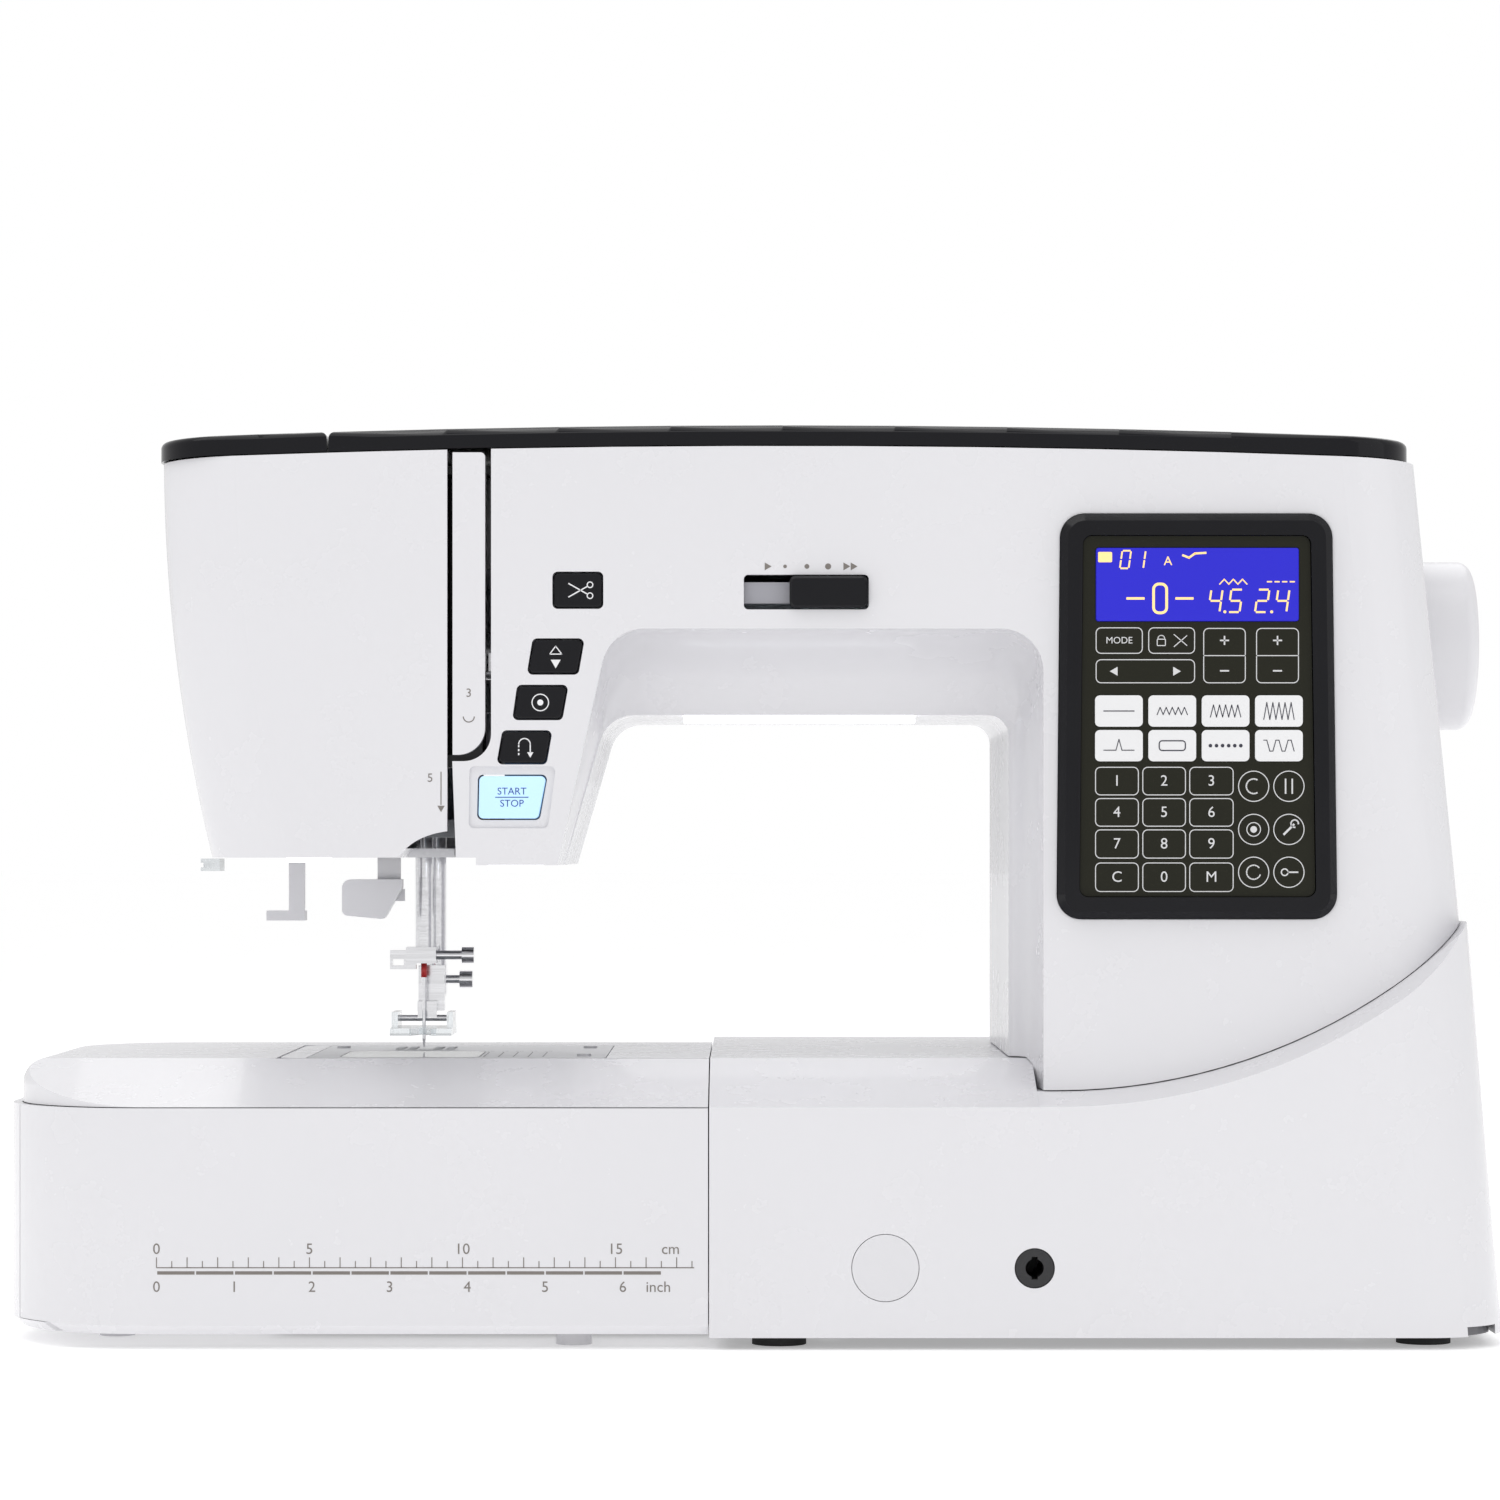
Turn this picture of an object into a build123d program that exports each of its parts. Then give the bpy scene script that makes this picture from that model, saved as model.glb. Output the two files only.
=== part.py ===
from build123d import *
import os
from math import cos, radians, sin, tan

# Computerised sewing machine with a long arm and an extension table.
# Millimetres. +X to the operator's right, +Y away from the operator, +Z up.
# Origin on the table under the middle of the machine's bounding box.

os.makedirs("parts", exist_ok=True)

# ---- driving dimensions ----
WIDTH_HALF = 249.5            # left end of the table and right end of the handwheel
BASE_FRONT = -109.0
ARM_FRONT = -96.0             # front plane of head, arm and pillar
ARM_BACK = 62.0
PILLAR_BACK = 105.0
FOOT = 4.0                    # clear height under the pan
CREASE = 79.4                 # where the base front turns into the sloping bed
BED_SLOPE = 18.5              # degrees
BED = 93.6
BED_FRONT = BASE_FRONT + (BED - CREASE) / tan(radians(BED_SLOPE))
BED_BACK = 64.0
WALL = 3.0
SEAM = 0.4                    # parting gap between covers
TABLE_RIGHT = -15.4           # the extension table ends here and the base begins
BASE_LEFT = -15.0
ARM_UNDER = 209.0             # ceiling of the throat
TOP = 292.4                   # lowest point of the top seam, at both ends
TOP_CROWN = 4.3               # rise of that seam at mid length
LID = 7.0
LID_LEFT = -140.6
LID_RIGHT = 218.0
HEAD_BOTTOM = 158.5
NEEDLE_X, NEEDLE_Y = -115.7, -3.0
PRESSER_X, PRESSER_Y = -112.4, 12.0
SHAFT_Z = 234.8
SHAFT_R = 5.0
FREE_ARM = dict(left=-160.0, front=BED_FRONT, back=34.0, under=46.0)
SLOT_1 = (-101.5, -99.7)      # thread slot beside the face plate
SLOT_2 = (-89.0, -87.0)       # thread slot beside the front cover
PARTING = 6.0                 # front and rear covers of the arm meet at this depth


# ---- shape helpers ----
def box(x, y, z):
    """Block between pairs of limits."""
    size = (x[1] - x[0], y[1] - y[0], z[1] - z[0])
    centre = ((x[0] + x[1]) / 2, (y[0] + y[1]) / 2, (z[0] + z[1]) / 2)
    return Pos(*centre) * Box(*size)


def outline(*corners):
    """Closed face through corners (u, v) or (u, v, radius)."""
    face = make_face(Polyline(*[corner[:2] for corner in corners], close=True))
    for u, v, *radius in corners:
        if radius:
            face = fillet(face.vertices().sort_by_distance((u, v, 0))[0], radius[0])
    return face


def along_x(face, start, end):
    return Pos(start, 0, 0) * extrude(Plane.YZ * face, end - start)


def along_y(face, start, end):
    return Pos(0, start, 0) * extrude(Plane.XZ * face, start - end)


def along_z(face, start, end):
    return Pos(0, 0, start) * extrude(face, end - start)


def rod_x(y, z, r, start, end):
    return along_x(Pos(y, z) * Circle(r), start, end)


def rod_y(x, z, r, start, end):
    return along_y(Pos(x, z) * Circle(r), start, end)


def rod_z(x, y, r, start, end):
    return along_z(Pos(x, y) * Circle(r), start, end)


def rounded_z(x, y, r, z):
    """Block with rounded upright corners."""
    size = (x[1] - x[0], y[1] - y[0])
    return along_z(Pos((x[0] + x[1]) / 2, (y[0] + y[1]) / 2) * RectangleRounded(*size, r), *z)


def rounded_y(x, z, r, y):
    """Block with rounded corners in its front view."""
    size = (x[1] - x[0], z[1] - z[0])
    return along_y(Pos((x[0] + x[1]) / 2, (z[0] + z[1]) / 2) * RectangleRounded(*size, r), *y)


def rib_round(solid, axis_filter, where, radius):
    """Fillet the edges that pass a test, given the edge's centre."""
    chosen = [e for e in solid.edges() if axis_filter(e) and where(e.center())]
    return fillet(chosen, radius)


NODES = {}


def node(name, *solids):
    NODES[name] = Compound(children=[s for solid in solids for s in solid.solids()])


# ---- outer forms shared by several covers ----
def top_line(x_left, x_right, lift=0.0):
    """Arched top seam between two X places, as an edge with its end points."""
    middle, reach = 9.0, 208.0

    def height(x):
        return TOP + lift + TOP_CROWN * (1 - ((x - middle) / reach) ** 2)
    mid = (x_left + x_right) / 2
    return [(x_left, height(x_left)), (mid, height(mid)), (x_right, height(x_right))]


def arched(x_left, x_right, z_low, lift):
    """Front view of a block with an arched top and a flat bottom."""
    a, b, c = top_line(x_left, x_right, lift)
    return make_face(ThreePointArc(a, b, c) + Polyline(c, (x_right, z_low), (x_left, z_low), a))


def upper_outline(inset=0.0):
    """Front view of head, arm and pillar together, without the throat."""
    a, b, c = top_line(-198.1 + inset, 220.6 - inset, -inset)
    left_low = (-181.9 + inset, HEAD_BOTTOM + 2.5 + inset)
    bottom = HEAD_BOTTOM + inset
    edges = ThreePointArc(a, b, c)
    edges += Polyline(c, (243.9 - inset, 60.0), (0, 60.0), (0, bottom), (-92.0, bottom),
                      (-92.0, left_low[1]), left_low)
    edges += ThreePointArc(left_low, (-194.6 + inset, 233.0), a)
    return make_face(edges)


def throat_outline(share, grow=0.0):
    """Front view of the throat: share 0 is the ceiling opening, share 1 its flared front edge."""
    def mix(near, far):
        return near + (far - near) * share
    lean = mix(0.2915, 0.2222)
    foot_x = mix(-69.7, -69.3) - grow
    top_z = mix(ARM_UNDER, 236.5) + grow
    right = mix(85.6, 95.1) + grow
    top_left = foot_x + (top_z - 140.0) * lean
    corners = ((foot_x, 140.0), (top_left, top_z, mix(11.5, 14.0)), (right, top_z, mix(7.0, 14.0)),
               (right, 50.0), (foot_x, 50.0))
    return outline(*corners)


def throat(grow=0.0):
    """The space under the arm, flared towards the front by a concave quarter ellipse."""
    depth = 36.0
    sections = []
    for turn in (0, 22, 45, 67, 90):
        y = ARM_FRONT + grow + depth * sin(radians(turn))
        sections.append(Pos(0, y, 0) * (Plane.XZ * throat_outline(cos(radians(turn)), grow)))
    flare = loft(sections)
    front = along_y(throat_outline(1.0, grow), ARM_FRONT - 10, ARM_FRONT + grow)
    through = along_y(throat_outline(0.0, grow), ARM_FRONT + grow + depth, PILLAR_BACK + 30)
    return [flare, front, through]


def cut(solid, tools):
    for tool in tools:
        solid = solid - tool
    return solid


def upper_form(inset=0.0):
    """Solid of head, arm and pillar; inset gives its inside."""
    face = upper_outline(inset)
    arm = along_y(face, ARM_FRONT + inset, ARM_BACK - inset)
    tall = [e for e in arm.edges() if e.length > 100 and abs(e.center().X) > 185
            and abs(e.center().Y - (ARM_FRONT + inset)) < 0.1]
    arm = fillet(tall, 27.0 - inset)
    back = [e for e in arm.edges() if e.length > 100 and e.center().X < -185
            and abs(e.center().Y - (ARM_BACK - inset)) < 0.1]
    arm = fillet(back, 20.0 - inset)
    pillar = along_y(face & Pos(200 + inset / 2, 180) * Rectangle(200 - inset, 300), ARM_BACK - inset - 30, PILLAR_BACK - inset)
    rear = [e for e in pillar.edges() if e.length > 100 and e.center().X > 185
            and abs(e.center().Y - (PILLAR_BACK - inset)) < 0.1]
    form = arm + fillet(rear, 20.0 - inset)
    return cut(form, throat(inset))


SWOOSH_START = (100.0, CREASE + 0.2)
SWOOSH_R = 195.0
PILLAR_LEFT = 93.0            # the flat bed gives way to the pillar here
LEDGE_RISE = (ARM_FRONT - BASE_FRONT) * tan(radians(BED_SLOPE))


def above_swoosh(lift=0.0):
    """Front view of everything above the base's sweeping top edge."""
    x0, z0 = SWOOSH_START
    turn = 46.0
    mid = (x0 + SWOOSH_R * sin(radians(turn / 2)), z0 + SWOOSH_R * (1 - cos(radians(turn / 2))))
    end = (x0 + SWOOSH_R * sin(radians(turn)), z0 + SWOOSH_R * (1 - cos(radians(turn))))
    edges = ThreePointArc(SWOOSH_START, mid, end)
    edges += Polyline(end, (300, end[1]), (300, 330), (PILLAR_LEFT, 330), (PILLAR_LEFT, z0), SWOOSH_START)
    return Pos(0, lift) * make_face(edges)


def above_bed(lift=0.0):
    """Everything above the sloping front and the flat of the bed."""
    drop = 20 * tan(radians(BED_SLOPE))
    profile = [(BASE_FRONT - 20, CREASE + lift - drop), (BED_FRONT, BED + lift), (200, BED + lift), (200, 330),
               (BASE_FRONT - 20, 330)]
    return along_x(make_face(Polyline(*profile, close=True)), -300, PILLAR_LEFT)


def base_form(inset=0.0):
    """Solid of the base to the right of the table; inset gives its inside."""
    face = outline((BASE_LEFT + inset, FOOT + inset), (248.3 - inset, FOOT + inset),
                   (234.0 - inset, 170.0), (BASE_LEFT + inset, 170.0))
    form = along_y(face, BASE_FRONT + inset, PILLAR_BACK + 4 - inset)
    upright = [e for e in form.edges() if e.length > 150 and e.center().X > 200
               and abs(e.tangent_at(0.5).Z) > 0.9]
    form = fillet(upright, 28.0 - inset)
    form -= above_bed(-inset)
    rise = Vector(0, cos(radians(BED_SLOPE)), sin(radians(BED_SLOPE)))
    ledge_face = Pos(0, BASE_FRONT, 0) * (Plane.XZ * above_swoosh(-inset))
    reach = (ARM_FRONT - BASE_FRONT) / rise.Y
    form -= extrude(ledge_face, reach + 0.02, dir=rise)
    form -= along_y(above_swoosh(LEDGE_RISE - inset), ARM_FRONT, 200)
    return form


def swoosh_gap_tool():
    """Everything below the pillar cover's lower edge, with the parting gap."""
    below = Pos(196.5, 100) * Rectangle(207, 400) - above_swoosh(LEDGE_RISE + SEAM)
    bed = box((60, PILLAR_LEFT), (-200, 200), (0, 200)) - above_bed(SEAM)
    return along_y(below, ARM_FRONT - 20, 200) + bed


# ---- base ----
CAP = dict(x=42.6, z=26.9, r=10.9)
KNEE = dict(x=91.4, z=26.8, r=6.3)
SIDE = dict(y=(-10.0, 62.0), z=(24.0, 62.0))     # recess for inlet and switch in the right side
ENDS = dict(x=(-11.6, 244.0), y=(-105.6, 105.6))


def base_parts():
    inside = base_form(WALL)
    cover = base_form() - inside
    cover -= box(ENDS["x"], ENDS["y"], (0, FOOT + WALL + 0.2))
    cover -= box((108, 214), (-86, 80), (70, 160))
    cover -= rod_y(CAP["x"], CAP["z"], CAP["r"] + 0.25, BASE_FRONT - 1, BASE_FRONT + 1.6)
    cover -= rod_y(KNEE["x"], KNEE["z"], KNEE["r"] + 0.3, BASE_FRONT - 1, BASE_FRONT + 10)
    cover -= box((236, 260), SIDE["y"], SIDE["z"])
    cover -= box((BASE_LEFT - 1, BASE_LEFT + 4), (-60, 28), (50, 90))
    node("base_cover", cover)
    node("balance_cap", rod_y(CAP["x"], CAP["z"], CAP["r"], BASE_FRONT, BASE_FRONT + 1.5))
    pan = rounded_z(ENDS["x"], ENDS["y"], 24, (FOOT, FOOT + 2.6)) & box((-20, 243), (-120, 120), (0, 20))
    arm_pan = box((FREE_ARM["left"] + 4, BASE_LEFT - 0.4), (-40, 26), (FREE_ARM["under"] - 0.2, FREE_ARM["under"] + 2))
    node("base_pan", pan, arm_pan)
    places = [(8, -88), (222, -84), (8, 74), (222, 70)]
    node("rubber_feet", *[rod_z(x, y, 9.0, 0, FOOT) for x, y in places])
    socket = rod_y(KNEE["x"], KNEE["z"], KNEE["r"], BASE_FRONT + 0.4, BASE_FRONT + 34)
    socket -= along_y(Pos(KNEE["x"], KNEE["z"]) * Rectangle(2.0, 7.4), BASE_FRONT - 1, BASE_FRONT + 28)
    socket -= rod_y(KNEE["x"], KNEE["z"], 3.0, BASE_FRONT - 1, BASE_FRONT + 28)
    node("knee_lifter_socket", socket)
    panel = box((236.2, 240.2), (SIDE["y"][0] + 0.3, SIDE["y"][1] - 0.3), (SIDE["z"][0] + 0.3, SIDE["z"][1] - 0.3))
    panel -= box((230, 260), (38, 58), (36, 50))
    panel -= box((230, 260), (14, 30), (32, 54))
    panel -= rod_x(0, 43, 4.5, 230, 260)
    inlet = box((222, 238.5), (38.2, 57.8), (36.2, 49.8)) - box((226, 240), (40, 56), (38, 48))
    pins = [rod_x(y, 43, 1.2, 225.9, 236) for y in (44.5, 51.5)]
    jack = rod_x(0, 43, 4.4, 220, 238.5) - rod_x(0, 43, 2.2, 224, 240)
    node("side_panel", panel, inlet, jack, *pins)
    rocker = box((232.5, 240.6), (14.5, 29.5), (33.0, 53.0))
    rocker = rib_round(rocker, lambda e: abs(e.tangent_at(0.5).Y) > 0.9, lambda c: c.X > 240, 1.5)
    node("power_switch", rocker)


# ---- free arm, needle plate and hook ----
PLATE = dict(x=(-151.0, -50.0), y=(BED_FRONT + 0.6, 30.0), z=(91.8, BED))
HOOK = dict(x=NEEDLE_X, y=-25.5, r=19.5)
DOG_SLOTS = [(x, 10.0) for x in (-124.5, -120.2, -111.2, -106.9)]


def hook_opening(grow=0.0):
    return rounded_z((-140.5 - grow, -93.0 + grow), (-60.0 - grow, -13.0 + grow), 6, (80, 100))


def bed_parts():
    arm = FREE_ARM
    x, y = (arm["left"], TABLE_RIGHT), (arm["front"], arm["back"])
    shell = rounded_z(x, y, 8, (arm["under"], BED)) + box((-60, x[1]), y, (arm["under"], BED))
    shell -= box((x[0] + 3, x[1] + 1), (y[0] + 3, y[1] - 3), (arm["under"] - 1, BED - 4.6))
    shell -= box(PLATE["x"], PLATE["y"], (PLATE["z"][0], 100))
    shell -= box((-147, -54), (-62, 26), (80, 100))
    node("free_arm_cover", shell)
    plate = rounded_z((PLATE["x"][0] + 0.3, PLATE["x"][1] - 0.3), (PLATE["y"][0] + 0.3, PLATE["y"][1] - 0.3), 3,
                      (PLATE["z"][0], PLATE["z"][1]))
    plate -= hook_opening()
    plate -= rounded_z((NEEDLE_X - 5.2, NEEDLE_X + 5.2), (NEEDLE_Y - 1.2, NEEDLE_Y + 1.2), 1.1, (80, 100))
    for sx, sy in DOG_SLOTS:
        plate -= rounded_z((sx - 1.6, sx + 1.6), (sy - 10, sy + 13), 1.5, (80, 100))
    node("needle_plate", plate)
    cover = hook_opening(-0.4) & box((-200, 0), (-100, 100), (PLATE["z"][0], BED))
    node("hook_cover_plate", cover)
    teeth = [box((sx - 1.2, sx + 1.2), (sy - 8.5, sy + 10.5), (84, BED + 0.2)) for sx, sy in DOG_SLOTS]
    grooves = [along_x(make_face(Polyline((y0, BED - 0.9), (y0 + 0.7, BED + 1), (y0 - 0.7, BED + 1), close=True)),
                       -130, -100) for y0 in [3.0 + 1.5 * i for i in range(11)]]
    teeth = [cut(t, grooves) for t in teeth]
    carrier = box((-126.5, -104.9), (2, 21), (80, 84.01))
    for tooth in teeth:
        carrier += tooth
    node("feed_dogs", carrier)
    hook = rod_z(HOOK["x"], HOOK["y"], HOOK["r"], 70, 84) - rod_z(HOOK["x"], HOOK["y"], HOOK["r"] - 2, 73, 90)
    hook += rod_z(HOOK["x"], HOOK["y"], 4.0, 58, 70.01) + rod_z(HOOK["x"], HOOK["y"], 14.4, 59, 63)
    node("rotary_hook", hook)
    bobbin = rod_z(HOOK["x"], HOOK["y"], 10.2, 76, 87) - rod_z(HOOK["x"], HOOK["y"], 3.0, 70, 90)
    bobbin -= rod_z(HOOK["x"], HOOK["y"], 12, 77.2, 85.8) - rod_z(HOOK["x"], HOOK["y"], 8.5, 70, 90)
    case = rod_z(HOOK["x"], HOOK["y"], 16.5, 74, 88) - rod_z(HOOK["x"], HOOK["y"], 11.5, 75.5, 90)
    case += box((-103.8, -95.0), (-29, -22), (86, 88))
    node("bobbin_holder", case)
    node("bobbin", bobbin)


# ---- extension table ----
TABLE = dict(x=(-WIDTH_HALF, TABLE_RIGHT), y=(BASE_FRONT, 72.0), corner=48.0)
DOOR_BACK = -82.0


def table_plan(inset):
    """Plan of the table: square at the base, large round corners at the left."""
    x0, x1 = TABLE["x"][0] + inset, TABLE["x"][1]
    y0, y1 = TABLE["y"][0] + inset, TABLE["y"][1] - inset
    r = TABLE["corner"] - inset
    return outline((x0, y0, r), (x1, y0), (x1, y1), (x0, y1, r))


def table_parts():
    free = box((FREE_ARM["left"] - 1, 0), (FREE_ARM["front"] - 0.4, FREE_ARM["back"] + 0.6), (0, 120))
    lower = along_z(table_plan(0), FOOT + 1, CREASE - 0.3)
    rim = [e for e in lower.edges() if abs(e.center().Z - FOOT - 1) < 0.1 and (e.center().X < -20)]
    lower = chamfer(rim, 3.0)
    hollow = along_z(table_plan(WALL), FOOT + 4, CREASE + 1)
    ring = lower - hollow
    upright = (FOOT + 4, CREASE - 0.3)
    arm_front, arm_back = FREE_ARM["front"] - 0.4, FREE_ARM["back"] + 0.6
    arm_left = FREE_ARM["left"] - 1
    inner_walls = [box((arm_left - 3, TABLE["x"][1]), (arm_front - 3, arm_front), upright),
                   box((arm_left - 3, arm_left), (arm_front, arm_back), upright),
                   box((arm_left - 3, TABLE["x"][1]), (arm_back, arm_back + 3), upright),
                   box((TABLE["x"][1] - 3, TABLE["x"][1]), (BASE_FRONT + 14, arm_front - 3), upright),
                   box((TABLE["x"][1] - 3, TABLE["x"][1]), (arm_back + 3, TABLE["y"][1] - 3), upright)]
    door_zone = box((-300, TABLE["x"][1] + 1), (-200, DOOR_BACK), (FOOT + 1, 200))
    door = (ring & door_zone) - box((-300, 0), (BASE_FRONT + 11, 0), (0, FOOT + 4.2))
    door -= box((-300, 0), (DOOR_BACK - 0.9, 0), (0, 200))
    door += box((-120, -60), (BASE_FRONT + 2.9, BASE_FRONT + 8), (60, 64))
    walls = ring - door_zone - free
    floor = (lower & box((-300, 0), (BASE_FRONT + 13.6, 200), (0, FOOT + 4))) - free
    under = box((-300, 0), (-200, 200), (0, FOOT + 4))
    feet = [(-215, -60), (-215, 40), (-60, -88), (-60, 58)]
    pads = [rod_z(x, y, 6.0, 0, FOOT + 1) - rod_z(x, y, 2.0, -1, 2) for x, y in feet]
    node("table_box", floor, walls - under, *inner_walls, *pads)
    node("storage_door", door)
    top = along_z(outline((-WIDTH_HALF + 3.5, BASE_FRONT, 47.0), (TABLE["x"][1], BASE_FRONT),
                          (TABLE["x"][1], TABLE["y"][1] - 3.5), (-WIDTH_HALF + 3.5, TABLE["y"][1] - 3.5, 44.5)),
                  CREASE, BED)
    rounded = [e for e in top.edges() if e.center().Z > BED - 0.2 and (e.center().X < -205 or e.center().Y > 60)]
    top = fillet(rounded, 8.0)
    slope = [(BASE_FRONT - 20, CREASE - 20 * tan(radians(BED_SLOPE))), (BED_FRONT, BED), (BED_FRONT, BED + 40),
             (BASE_FRONT - 20, BED + 40)]
    top -= along_x(make_face(Polyline(*slope, close=True)), -300, 10)
    top -= free
    hollow_back = FREE_ARM["front"] - 4
    hollow_top = [(BASE_FRONT + 8, CREASE - 1), (BASE_FRONT + 8, CREASE + 0.2), (hollow_back, BED - WALL - 1.3),
                  (hollow_back, CREASE - 1)]
    top -= along_x(make_face(Polyline(*hollow_top, close=True)), -205, TABLE["x"][1] - 4)
    top -= box((-236, FREE_ARM["left"] - 5), (-60, 60), (CREASE - 1, BED - WALL))
    top -= box((FREE_ARM["left"], TABLE["x"][1] - 4), (FREE_ARM["back"] + 5, 66), (CREASE - 1, BED - WALL))
    node("table_top", top)


# ---- arm, head and pillar covers ----
WHEEL = dict(y=-3.0, z=SHAFT_Z, r=29.3)
HANDLE = dict(y=ARM_BACK + 6.0, z=272.0)
LID_HINGE = dict(y=ARM_BACK + 3.6, z=299.0, x=(-112.0, 40.0))
SLIDE_SLOT = dict(x=(-3.7, 37.5), z=(242.8, 254.3))
PANEL = dict(top=(100.7, 190.1), bottom=(99.5, 191.8), z=(140.8, 274.3), r=8.0)
BAY = dict(x=(-136.0, 206.0), y=(-66.0, 54.0), floor=258.0)
LAMP = dict(x=(-24.0, 54.0), y=(-59.5, -47.0))

# Button faces in front view: corners from the top left, clockwise.
BUTTONS = {
    "thread_cut_button": ((-66.3, 254.8), (-50.5, 254.8), (-50.5, 243.5), (-66.3, 243.5)),
    "needle_position_button": ((-72.8, 232.8), (-56.6, 232.8), (-58.7, 221.8), (-74.8, 221.8)),
    "lock_stitch_button": ((-77.9, 217.5), (-61.9, 217.5), (-64.0, 206.8), (-79.6, 206.8)),
    "reverse_button": ((-82.8, 202.5), (-67.2, 202.5), (-69.2, 192.2), (-84.8, 192.2)),
    "start_stop_button": ((-90.9, 187.9), (-68.8, 187.9), (-71.5, 173.9), (-91.2, 173.9)),
}


def button_face(corners, grow, radius):
    """Button outline made larger or smaller all round."""
    cx = sum(x for x, _ in corners) / 4
    cz = sum(z for _, z in corners) / 4
    grown = []
    for x, z in corners:
        grown.append((x + (grow if x > cx else -grow), z + (grow if z > cz else -grow), radius))
    return outline(*grown)


def panel_face(grow=0.0, radius=None):
    (tl, tr), (bl, br), (z0, z1) = PANEL["top"], PANEL["bottom"], PANEL["z"]
    r = PANEL["r"] + grow if radius is None else radius
    return outline((bl - grow, z0 - grow, r), (br + grow, z0 - grow, r), (tr + grow, z1 + grow, r),
                   (tl - grow, z1 + grow, r))


def left_of_front_cover():
    """Front view of the head area that the front cover leaves to the face plate and the strip."""
    return outline((-300, 340), (SLOT_2[1], 340), (SLOT_2[1], 192.8, 9), (-99.8, 192.8), (-97.8, 140), (-300, 140))


def arm_parts():
    shell = upper_form() - upper_form(WALL)
    shell -= swoosh_gap_tool()
    shell -= box(BAY["x"], BAY["y"], (280, 310))
    shell -= rod_x(WHEEL["y"], WHEEL["z"], WHEEL["r"] + 1.2, 205, 260)
    shell -= box((-134.5, -97.0), (-34, 34), (150, 168))
    whole = (-400, 400)
    front = shell & box(whole, (-200, PARTING), (0, 400))
    rear = shell & box(whole, (PARTING + SEAM, 200), (0, 400))
    rear -= box((-98.5, -85.5), (ARM_BACK - 16, ARM_BACK + 8), (150, 192))
    for lug in handle_lugs() + lid_lugs():
        rear += lug
    cover = front - along_y(left_of_front_cover(), -150, 60)
    for name, corners in BUTTONS.items():
        grow = 3.2 if name == "start_stop_button" else 0.5
        cover -= along_y(button_face(corners, grow, 1.8), ARM_FRONT - 5, ARM_FRONT + 1.0)
        cover -= along_y(button_face(corners, 0.5, 1.8), ARM_FRONT, ARM_FRONT + 6)
    cover -= rounded_y(SLIDE_SLOT["x"], SLIDE_SLOT["z"], 1.5, (ARM_FRONT - 1, ARM_FRONT + 8))
    cover -= along_y(panel_face(0.2), ARM_FRONT - 1, ARM_FRONT + 8)
    cover -= box(LAMP["x"], LAMP["y"], (ARM_UNDER - 5, 214.5))
    node("arm_front_cover", cover)
    node("arm_rear_cover", rear)
    face = front & box((-300, SLOT_1[0]), (-200, 200), (0, 400))
    face -= along_y(Pos(-97.0, 158.0) * Ellipse(21.0, 12.0), -110, -60)
    face -= box((-163, -155.5), (-14, -9), (150, 170))
    node("face_plate", face)
    strip = outline((SLOT_1[1], 194.9), (SLOT_2[0], 194.9, 9.0), (SLOT_2[0], 294.6, 1.5), (SLOT_1[1], 294.6))
    node("thread_channel_cover", along_y(strip, ARM_FRONT, ARM_FRONT + 7))
    liner = box((SLOT_1[0] - 2, SLOT_2[1] + 2), (ARM_FRONT + 7.05, ARM_FRONT + 28), (191, 290))
    liner -= box((SLOT_1[0] - 0.5, -97.5), (-100, ARM_FRONT + 24), (195, 288))
    liner -= box((SLOT_2[0] - 1.2, SLOT_2[1] + 0.5), (-100, ARM_FRONT + 40), (195, 288))
    node("thread_channel_liner", liner)
    for name, corners in BUTTONS.items():
        cap = along_y(button_face(corners, 0.0, 1.6), ARM_FRONT + 0.2, ARM_FRONT + 5)
        front_rim = [e for e in cap.edges() if abs(e.center().Y - ARM_FRONT - 0.2) < 0.05]
        node(name, fillet(front_rim, 0.6))
    knob = rounded_y((11.4, SLIDE_SLOT["x"][1] - 0.3), (243.3, 253.8), 2.0, (ARM_FRONT - 2.5, ARM_FRONT + 4))
    knob = chamfer([e for e in knob.edges() if e.center().Y < ARM_FRONT - 2.4], 0.8)
    node("speed_slider", knob)
    lens = box(LAMP["x"], LAMP["y"], (ARM_UNDER - 2.5, ARM_UNDER + 5)) - box(
        (LAMP["x"][0] + 1.5, LAMP["x"][1] - 1.5), (LAMP["y"][0] + 1.5, LAMP["y"][1] - 1.5), (208.5, 225))
    head_lenses = [box((-90, -72), (-60, -46), (HEAD_BOTTOM - 1.6, HEAD_BOTTOM)),
                   box((-158, -144), (-60, -46), (HEAD_BOTTOM + 0.9, HEAD_BOTTOM + 2.5))]
    node("lamp_lenses", lens, *head_lenses)
    boards = [box((-83, -46), (ARM_FRONT + 9, ARM_FRONT + 10.6), (172, 262)),
              box((104, 190), (ARM_FRONT + 5, ARM_FRONT + 7), (150, 268))]
    boards[0] = cut(boards[0], throat(4.5))
    slider_track = box((-8, 42), (ARM_FRONT + 4.4, ARM_FRONT + 10), (245, 252))
    lamp_y = (LAMP["y"][0] + 3, LAMP["y"][1] - 3)
    lamp_board = box((-20, 50), lamp_y, (214.6, 216.2))
    lamp_chips = [box((x - 2.5, x + 2.5), lamp_y, (213, 214.6)) for x in (-5.8, 36.2)]
    supply = [box((20, 100), (30, 50), (14, 16)), box((30, 60), (32, 46), (16, 34))]
    node("circuit_boards", *boards, slider_track, lamp_board, *lamp_chips, *supply)


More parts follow.
